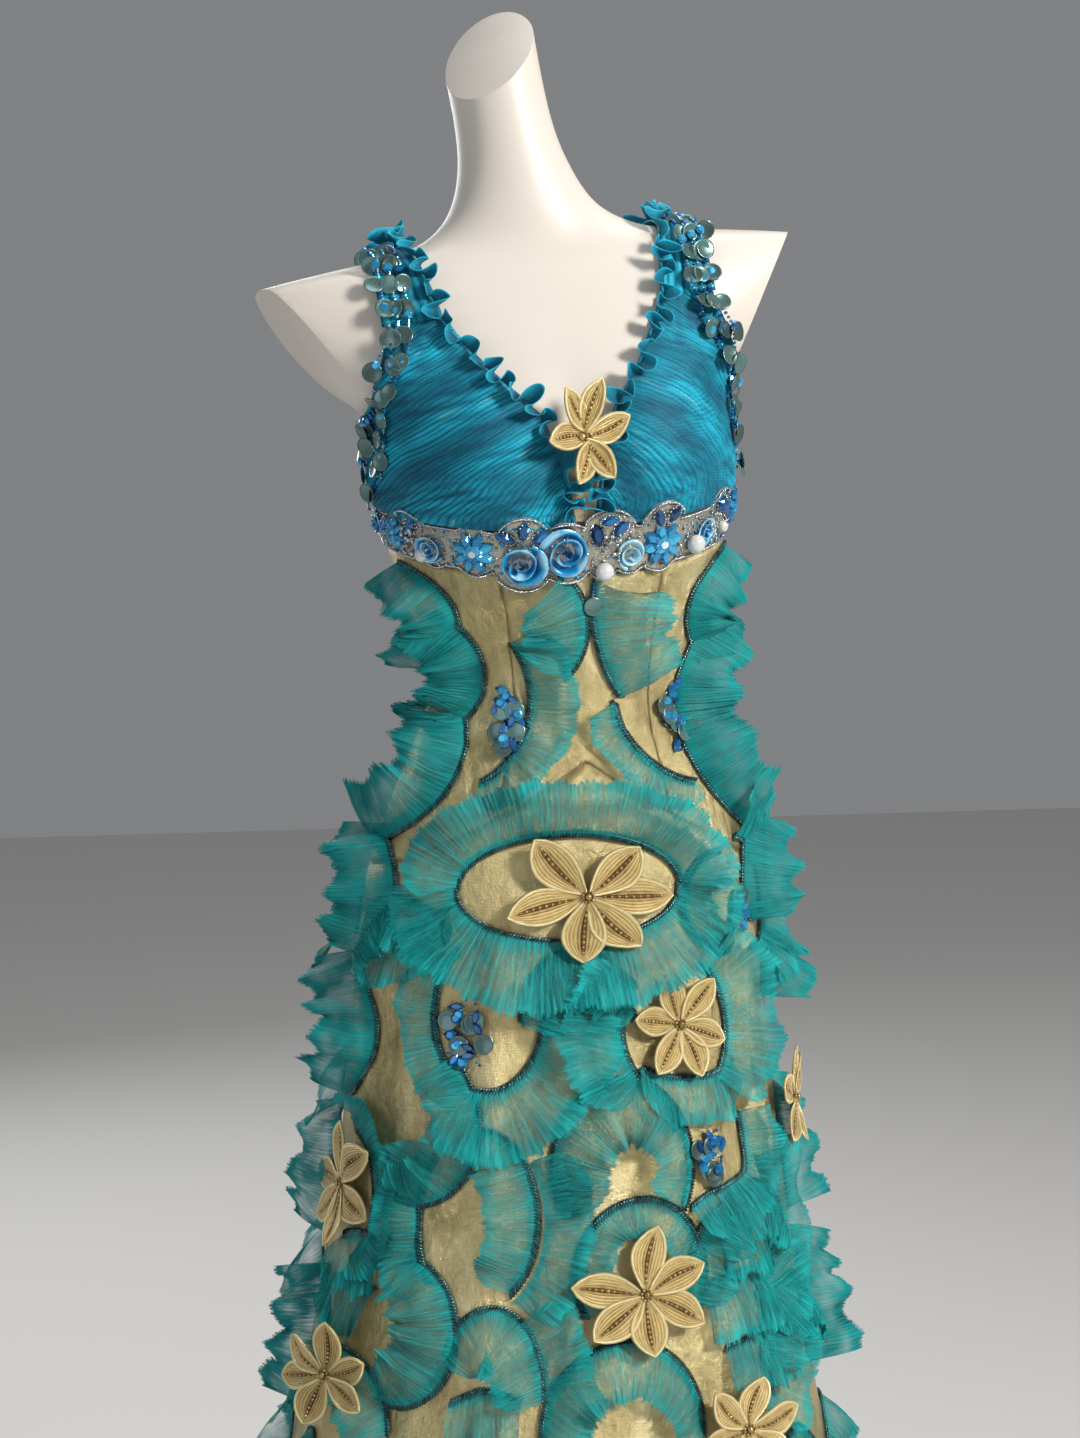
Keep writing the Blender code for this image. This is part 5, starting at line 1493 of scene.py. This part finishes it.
# Single pointed stones: angle, rise, half length, turn
STONES = (
    (-21, 0.0200, 0.0085, 85),
    (-27, 0.0130, 0.0080, 150),
    (-15, 0.0140, 0.0080, 35),
    (4, 0.0120, 0.0090, 100),
    (12, 0.0170, 0.0085, 55),
    (8, 0.0240, 0.0070, 10),
    (24, 0.0230, 0.0075, 110),
    (29, 0.0240, 0.0075, 60),
    (56, 0.0160, 0.0080, 70),
    (61, 0.0110, 0.0075, 110),
    (-62, 0.0140, 0.0080, 60),
    (-66, 0.0060, 0.0075, 20),
    (66, 0.0020, 0.0070, 150),
    (-80, 0.0060, 0.0070, 60),
)
# Pearls: angle, rise and radius
PEARLS = ((6, -0.0170, 0.0078), (41, -0.0060, 0.0082), (60, -0.004, 0.0050), (-59, -0.0100, 0.0060))
BUNCHES = (9, 51, -64)        # angles of the bunches of silver beads
DROP_ANGLE, DROP_HEIGHT, DROP_STEP = 2.5, 1.1655, 0.0032      # beads that hang from the band
# Where the braid is widest: angle, rise and radius of each patch
BAND_PATCHES = (
    *((turn, rise, radius) for turn, rise, radius, extra in ROSES + STONE_FLOWERS),
    (-21, 0.013, 0.0150),
    (8, 0.013, 0.0170),
    (26.5, 0.018, 0.0130),
    (56, 0.010, 0.0150),
    (-63, 0.010, 0.0140),
    (41, -0.003, 0.0100),
    (6, -0.011, 0.0100),
)


def rose(name, rose_satin, turn, rise, radius, pale, seed):
    """A ribbon wound into a rose: upright in the heart, rolling open outwards."""
    share, out = np.meshgrid(np.linspace(0, 1, 240), np.linspace(0, 1, 9))
    way = 2 * math.pi * 2.9 * share + seed
    wave = 0.5 + 0.5 * np.cos(way * 1.62 + seed)
    inner = radius * (0.05 + 0.58 * share)
    open_out = share**1.1
    far = inner + out * radius * 0.44 * open_out * (0.6 + 0.5 * wave)
    tall = radius * 0.55 * (1 - 0.50 * share) * (0.85 + 0.25 * wave)
    rolled = np.sin(out * (1.45 + 0.75 * open_out))
    lift = 0.0012 + tall * rolled
    along, up = far * np.cos(way), far * np.sin(way)
    angle = math.radians(turn)
    radius_here = reach(GOWN, np.array(angle), np.array(band_middle(angle)))
    height = band_middle(angle) + rise + up
    spot = frame_on(GOWN, angle + along / radius_here, height, BRAID_LIFT + lift)
    # Painted highlights: streaks across the ribbon, and its rolled-over edge lighter; pale is the ribbon's
    # own lightness.
    gleam = np.clip(np.sin(way * 2.3 + seed) * 1.6 - 0.5, 0, 1) * np.sin(math.pi * out**0.7)
    crest = np.clip(pale + 0.16 + 0.55 * out**2 * (0.6 + 0.4 * wave) + 0.6 * gleam, 0, 1)
    made = cloth_grid(name, rose_satin, spot[0], share * 0.3, out * 0.01, crest=crest)
    wide, tall = spans(spot[0])
    cut = (wide, max(tall, 0.0101))
    min(grid_area(spot[0]), cut[0] * cut[1])


def band_stones(rose_satin, heaps):
    """Roses, stone flowers, single stones, pearls and bunches of beads, each as its table says."""
    for number, (turn, rise, radius, pale) in enumerate(ROSES):
        rose("rose_%d" % (number + 1), rose_satin, turn, rise, radius, pale, number * 1.7)
    for turn, rise, radius, petals in STONE_FLOWERS:
        stone_flower(heaps, math.radians(turn), rise, radius, petals)
    for turn, rise, half, slant in STONES:
        pointed_stone(heaps, math.radians(turn), rise, half, math.radians(slant))
    for turn, rise, radius in PEARLS:
        spot = on_band(np.array([math.radians(turn)]), rise, radius * 0.8)
        heaps["pearl"].add(TEMPLATES["pearl"], spot[0], np.stack(spot[1:], axis=1), radius)
    for turn in BUNCHES:
        draw = np.random.default_rng(abs(turn))
        spread, rise = draw.uniform(-0.045, 0.045, 16), draw.uniform(-0.011, 0.013, 16)
        spot = on_band(math.radians(turn) + spread, rise, draw.uniform(0.003, 0.006, 16))
        heaps["silver"].add(TEMPLATES["bead"], spot[0], np.stack(spot[1:], axis=1), 0.0023)
    hanging_sequin(heaps)


def stone_flower(heaps, turn, rise, radius, petals):
    """Pointed stones round a cut one, in two rounds, with a ring of silver beads."""
    way = np.arange(petals) / petals * 2 * math.pi + 0.3
    angle = turn + radius * 0.58 * np.cos(way) / 0.12
    across, up, out = on_band(angle, rise + radius * 0.58 * np.sin(way), 0.0022)[1:]
    middle = on_band(np.full(petals, turn), rise, 0.0022)[0]
    ahead = across * np.cos(way)[:, None] + up * np.sin(way)[:, None]
    frames = np.stack([ahead, np.cross(out, ahead), out], axis=1)
    sizes = np.tile((radius * 0.46, radius * 0.50, 0.0055), (petals, 1))
    heaps["azure"].add(TEMPLATES["marquise"], middle + ahead * radius * 0.58, frames, sizes)
    raised = middle + out * 0.003 + ahead * radius * 0.3
    heaps["azure"].add(TEMPLATES["marquise"], raised, np.roll(frames, 1, axis=0), sizes * 0.6)
    spot = on_band(np.array([turn]), rise, 0.0030)
    axes = np.stack(spot[1:], axis=1)
    heaps["ice"].add(TEMPLATES["crystal"], spot[0], axes, radius * 0.30)
    ring = np.arange(12) / 12 * 2 * math.pi
    round_it = spot[0] + spot[1] * (radius * 0.34 * np.cos(ring))[:, None]
    round_it = round_it + spot[2] * (radius * 0.34 * np.sin(ring))[:, None] + spot[3] * 0.003
    heaps["silver"].add(TEMPLATES["bead"], round_it, axes, 0.0012)


def pointed_stone(heaps, turn, rise, half, slant):
    """A pointed stone in a setting of silver beads."""
    middle, across, up, out = on_band(np.array([turn]), rise, 0.0022)
    ahead = across * math.cos(slant) + up * math.sin(slant)
    frames = np.stack([ahead, np.cross(out, ahead), out], axis=1)
    heaps["navy"].add(TEMPLATES["marquise"], middle, frames, (half * 1.1, half * 1.15, 0.0052))
    rim = np.arange(16) / 16 * 2 * math.pi
    around = middle + ahead * (half * 1.16 * np.cos(rim))[:, None]
    around = around + frames[:, 1] * (half * 0.62 * np.sin(rim))[:, None]
    heaps["silver"].add(TEMPLATES["bead"], around, frames, 0.00115)


def hanging_sequin(heaps):
    """Four navy beads that hang from the band's middle, and a sequin under them."""
    angle = np.full(5, math.radians(DROP_ANGLE))
    spot = on_cloth(angle, DROP_HEIGHT - DROP_STEP * np.arange(5), 0.004)
    frames = np.stack(spot[1:], axis=1)
    heaps["navy"].add(TEMPLATES["bead"], spot[0][:4], frames[:4], 0.0013)
    under = spot[0][4:] - spot[2][4:] * 0.006
    heaps["sequin"].add(TEMPLATES["paillette"], under, frames[4:], 0.0078)


# Clusters of stones and sequins on the gown: angle, height, half width, half height, tilt
CLUSTERS = (
    (-32, 1.052, 0.012, 0.032, 15),
    (43, 1.052, 0.014, 0.032, -12),
    (-34, 0.796, 0.020, 0.032, 10),
    (53, 0.884, 0.012, 0.016, 0),
    (31, 0.694, 0.013, 0.021, 0),
)


def clusters(heaps):
    """Pointed and cut stones, sequins and beads strewn in leaning ovals."""
    draw = np.random.default_rng(21)
    for turn, height, wide, tall, tilt in CLUSTERS:
        middle = math.radians(turn)
        radius = reach(GOWN, np.array(middle), np.array(height))
        tilt = math.radians(tilt)

        def spread(many, size, kind, heap, share=1.0, lift=0.002):
            way, far = draw.uniform(0, 2 * math.pi, many), draw.uniform(0, 1, many) ** 0.6 * share
            across, up = wide * far * np.cos(way), tall * far * np.sin(way)
            across, up = (
                across * math.cos(tilt) - up * math.sin(tilt),
                across * math.sin(tilt) + up * math.cos(tilt),
            )
            spot = on_cloth(middle + across / radius, height + up, lift + draw.uniform(0, 0.002, many))
            turned = draw.uniform(0, math.pi, many)
            ahead = spot[1] * np.cos(turned)[:, None] + spot[2] * np.sin(turned)[:, None]
            frames = np.stack([ahead, np.cross(spot[3], ahead), spot[3]], axis=1)
            heaps[heap].add(TEMPLATES[kind], spot[0], frames, size)

        spread(9, (0.0072, 0.0070, 0.0050), "marquise", "navy", 0.9)
        spread(6, (0.0048, 0.0048, 0.0050), "crystal", "azure", 0.9, 0.003)
        spread(5, 0.0084, "paillette", "sequin", 1.0, 0.0040)
        spread(26, 0.0016, "bead", "navy", 1.0)
        spread(8, 0.0012, "bead", "silver", 1.0)


# Strings of beads and sequins from the outer edge of each strap down over the armhole


def string_line(hand, lane, share):
    """Along the strap's outer edge from the top of the shoulder, then down the cup's."""
    over = np.clip(share / 0.42, 0, 1)
    side = STRAP_OUT - 0.004 - 0.009 * lane
    first = float(strap_ends(np.array(side))[0])
    arch = 0.15 + (first - 0.15) * over
    lift = CLEARANCE + STRAP_CLOTH + 0.0035
    upper = over_shoulder(hand, np.full(share.shape, side), arch, lift)
    down = np.clip((share - 0.42) / 0.58, 0, 1)
    height = CUP_TOP - 0.148 * down
    levels = (1.23, 1.285, 1.310, 1.337, 1.382, 1.40)
    outline = np.interp(height, levels, (0.146, 0.150, 0.154, 0.147, 0.135, 0.131))
    outline = outline - 0.009 * lane * (1 - 0.6 * down) + 0.003 * np.sin(share * 26 + lane * 2)
    swing = 0.0095 + 0.0015 * np.sin(share * 40 + lane)
    spot = frame_on(FORM, hand * side_angle(outline, height), height, swing)
    blend = np.clip((share - 0.42) / 0.04 + 0.5, 0, 1)[:, None]
    middle = upper * (1 - blend) + spot[0] * blend
    return middle, spot[1], spot[2], spot[3]


def hanging_strings(heaps):
    """Beads and sequins in strings on the outer edge of each strap and cup."""
    draw = np.random.default_rng(33)
    for hand in (-1, 1):
        for lane in range(3):
            share = np.linspace(0, 1 - 0.05 * lane, 84)
            middle, across, up, out = string_line(hand, lane, share)
            frames = np.stack([across, up, out], axis=1)
            kinds = draw.uniform(0, 1, 84)
            aqua = (kinds > 0.5) & (kinds < 0.78)
            for heap, chosen in (("navy", kinds < 0.5), ("azure", kinds > 0.78), ("aqua", aqua)):
                sizes = draw.uniform(0.0014, 0.0024, 84)[chosen]
                heaps[heap].add(TEMPLATES["bead"], middle[chosen], frames[chosen], sizes)
            some = np.arange(2 + 2 * lane, 82, 7)
            tilt = draw.uniform(-0.5, 0.5, (len(some), 2))
            face = out[some] + across[some] * tilt[:, :1] + up[some] * tilt[:, 1:]
            face /= np.linalg.norm(face, axis=1, keepdims=True)
            aside = np.cross(up[some], face)
            aside /= np.linalg.norm(aside, axis=1, keepdims=True)
            turned = np.stack([aside, np.cross(face, aside), face], axis=1)
            shifted = middle[some] + out[some] * 0.0035 - up[some] * 0.005
            shifted = shifted + across[some] * (hand * draw.uniform(-0.002, 0.006, (len(some), 1)))
            sizes = draw.uniform(0.0072, 0.0086, len(some))
            heaps["sequin"].add(TEMPLATES["paillette"], shifted, turned, sizes)
            bright = np.arange(5 + 3 * lane, 80, 13)
            raised = middle[bright] + out[bright] * 0.002
            heaps["azure"].add(TEMPLATES["crystal"], raised, frames[bright], 0.0042)


# The zip


ZIP_WIDTH, ZIP_GAP = 0.009, 0.0012
ZIP_FOOT, ZIP_HEAD = 0.880, 1.262
SLIDER = 1.240
TOOTH_PITCH, TOOTH = 0.0017, (0.0006, 0.0008, 0.0016)


def zip_parts(tape, metal):
    """A ribbed tape down the back, with its teeth up to the slider."""
    along, aside = np.linspace(ZIP_FOOT, ZIP_HEAD, 150), np.linspace(-0.5, 0.5, 13)
    height, across = np.meshgrid(along, aside, indexing="ij")
    angle = math.pi + ZIP_WIDTH * across / reach(GOWN, math.pi, height)
    rib = 0.00012 * np.cos(across * 2 * math.pi * 6)
    points = placed(GOWN, angle, height, OUTER + ZIP_GAP + 0.0008 + rib)
    made = cloth_grid("zip_tape_cloth", tape, points, height, across * ZIP_WIDTH, thick=0.0006)
    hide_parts("zip_tape")
    teeth = Heap(5)
    levels = np.arange(ZIP_FOOT + 0.006, SLIDER - 0.006, TOOTH_PITCH)
    sides = np.where(np.arange(len(levels)) % 2, 1, -1)
    angle = math.pi + sides * 0.0007 / reach(GOWN, math.pi, levels)
    spot = frame_on(GOWN, angle, levels, OUTER + ZIP_GAP + 0.0016)
    teeth.add(TEMPLATES["bugle"], spot[0], np.stack([spot[2], spot[3], spot[1]], axis=1), TOOTH)
    made = teeth.made("zip_teeth", metal, smooth=False)


# The form


NECK_CUT = Vector((-0.55, -0.50, 0.67))
NECK_MIDDLE, NECK_FOOT = (-0.013, 1.596), 1.48
SHOULDER_TIP, SHOULDER_FOOT, SHOULDER_FRONT = (0.2235, 1.425), (0.161, 1.316), -0.23
FORM_FOOT = 0.760


def lean_vector(side, depth, up, height):
    """A direction, turned with the lean of the form at a height."""
    angle = float(lean_at(height)[0])
    across = side * math.cos(angle) - up * math.sin(angle)
    return Vector((across, depth, side * math.sin(angle) + up * math.cos(angle)))


def select_faces(mesh, wanted):
    for piece in mesh.polygons:
        piece.select = wanted(piece.center)


def sawn_off(made, point, normal, wanted):
    """Cut the wanted faces at a plane, drop what lies outside it and close the hole."""
    bpy.ops.object.mode_set(mode="EDIT")
    bpy.ops.mesh.select_mode(type="FACE")
    bpy.ops.mesh.select_all(action="DESELECT")
    bpy.ops.object.mode_set(mode="OBJECT")
    select_faces(made.data, wanted)
    bpy.ops.object.mode_set(mode="EDIT")
    bpy.ops.mesh.bisect(plane_co=point, plane_no=normal, use_fill=True, clear_outer=True)
    bpy.ops.object.mode_set(mode="OBJECT")


def form(lacquer):
    """A tube with closed ends, drawn out to the form's sections, then sawn at neck and arms."""
    sides, cuts = 96, 150
    bpy.ops.object.select_all(action="DESELECT")
    bpy.ops.mesh.primitive_cylinder_add(vertices=sides, radius=1, depth=1, end_fill_type="NGON")
    made = bpy.context.active_object
    made.name = made.data.name = "form_shell"
    bpy.ops.object.mode_set(mode="EDIT")
    bpy.ops.mesh.select_mode(type="EDGE")
    bpy.ops.mesh.select_all(action="DESELECT")
    bpy.ops.object.mode_set(mode="OBJECT")
    corners = made.data.vertices
    for edge in made.data.edges:
        first, second = (corners[index].co for index in edge.vertices)
        edge.select = abs(first.z - second.z) > 0.5
    bpy.ops.object.mode_set(mode="EDIT")
    bpy.ops.mesh.subdivide_edgering(number_cuts=cuts, interpolation="LINEAR", smoothness=0)
    bpy.ops.object.mode_set(mode="OBJECT")
    spots = np.array([corner.co for corner in corners])
    turn = np.arctan2(spots[:, 0], -spots[:, 1])
    share = np.round((spots[:, 2] + 0.5) * (cuts + 1)) / (cuts + 1)
    height = np.interp(share, (0, 0.45, 0.80, 1), (FORM_FOOT, 1.30, 1.48, 1.660))
    shaped = on_sections(FORM, turn, height)
    corners.foreach_set("co", shaped.ravel().astype(np.float32))
    neck = leaned(np.array(NECK_MIDDLE[0]), np.array(0.0), np.array(NECK_MIDDLE[1]))
    sawn_off(made, Vector(neck), NECK_CUT, lambda spot: spot.z > NECK_FOOT)
    for hand in (-1, 1):
        tip_side, tip_height = SHOULDER_TIP
        foot_side, foot_height = SHOULDER_FOOT
        tip = leaned(np.array(hand * tip_side), np.array(0.0), np.array(tip_height))
        slope = math.hypot(tip_height - foot_height, tip_side - foot_side)
        outward = (tip_height - foot_height) / slope
        down = (tip_side - foot_side) / slope

        def on_arm(spot, hand=hand):
            angle, moved = lean_at(spot.z)
            side = hand * (spot.x - float(moved))
            return side > 0.10 and spot.z - spot.x * math.sin(float(angle)) > 1.300

        facing = lean_vector(hand * outward, SHOULDER_FRONT, -down, tip_height)
        sawn_off(made, Vector(tip), facing, on_arm)
    soften = made.modifiers.new("edges", "BEVEL")
    soften.width, soften.segments, soften.angle_limit = 0.0018, 2, math.radians(42)
    bpy.ops.object.modifier_apply(modifier="edges")
    bpy.ops.object.shade_smooth_by_angle(angle=math.radians(38))
    made.data.materials.append(lacquer)
    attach(made, BODY)
    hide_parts("form_body")


def repaint(node, material):
    """Give the finer finish to a solid that stays as it is."""
    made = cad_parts[node]
    made.data.materials.clear()
    made.data.materials.append(material)


# Colours of the beads and stones, dark and light, then how metallic and how rough they are
BEAD_LOOKS = {
    "cord": ((0.000, 0.020, 0.025), (0.02, 0.16, 0.17), 0.3, 0.10),
    "navy": ((0.000, 0.030, 0.120), (0.02, 0.22, 0.58), 0.40, 0.03),
    "aqua": ((0.02, 0.20, 0.28), (0.22, 0.60, 0.70), 0.2, 0.06),
    "silver": ((0.30, 0.33, 0.36), (0.75, 0.78, 0.80), 0.9, 0.16),
    "ice": ((0.30, 0.50, 0.62), (0.80, 0.90, 0.95), 0.4, 0.03),
    "pearl": ((0.60, 0.62, 0.62), (0.82, 0.84, 0.84), 0.1, 0.16),
    "sequin": ((0.060, 0.105, 0.100), (0.15, 0.30, 0.29), 0.55, 0.22),
    "gold": ((0.28, 0.18, 0.06), (0.66, 0.50, 0.24), 0.8, 0.22),
    "azure": ((0.000, 0.16, 0.42), (0.06, 0.50, 0.82), 0.45, 0.03),
}
CUT_STONES = ("ice", "navy", "azure")      # these keep their flat faces


def build():
    camera()
    studio()
    templates()
    satin, chiffon = satin_finish(), chiffon_finish()
    organza = organza_finish("teal_organza", (0.000, 0.045, 0.058), (0.008, 0.620, 0.600), 0.90)
    # The side frills' organza: denser, and darker as painted shade.
    doubled_organza_painted_shade = organza_finish("doubled_organza_painted_shade", (0.000, 0.035, 0.045), (0.005, 0.480, 0.470), 1.20)
    gilt, steel, lacquer = gilt_finish(), steel_finish(), lacquer_finish()
    braid = metal_finish("silver_braid", (0.16, 0.15, 0.12), (0.62, 0.60, 0.52), 0.55, 0.28, 900.0)
    metal = metal_finish("zip_metal", (0.36, 0.27, 0.12), (0.62, 0.50, 0.28), 1.0, 0.22, 500.0)
    rose_satin = rose_finish()
    heaps = {name: Heap(number + 1) for number, name in enumerate(BEAD_LOOKS)}
    form(lacquer)
    for node in ("stand_pole", "stand_base"):
        repaint(node, steel)
    gown(satin)
    chiffon_cups(chiffon)
    chiffon_straps(chiffon)
    chiffon_yoke(chiffon)
    insert(mesh_cloth_finish())
    neck_frills(chiffon)
    frills(organza, doubled_organza_painted_shade, heaps["cord"])
    flowers(gilt, heaps["gold"])
    band(braid, heaps)
    band_stones(rose_satin, heaps)
    clusters(heaps)
    hanging_strings(heaps)
    zip_parts(satin, metal)
    for node in ("zip_slider", "zip_pull"):
        repaint(node, metal)
    for name, heap in heaps.items():
        material = toned_finish(name + "_beads", *BEAD_LOOKS[name])
        made = heap.made(name + "_beads", material, smooth=name not in CUT_STONES)
        "gilt_thread" if name == "gold" else "silver_braid"


build()
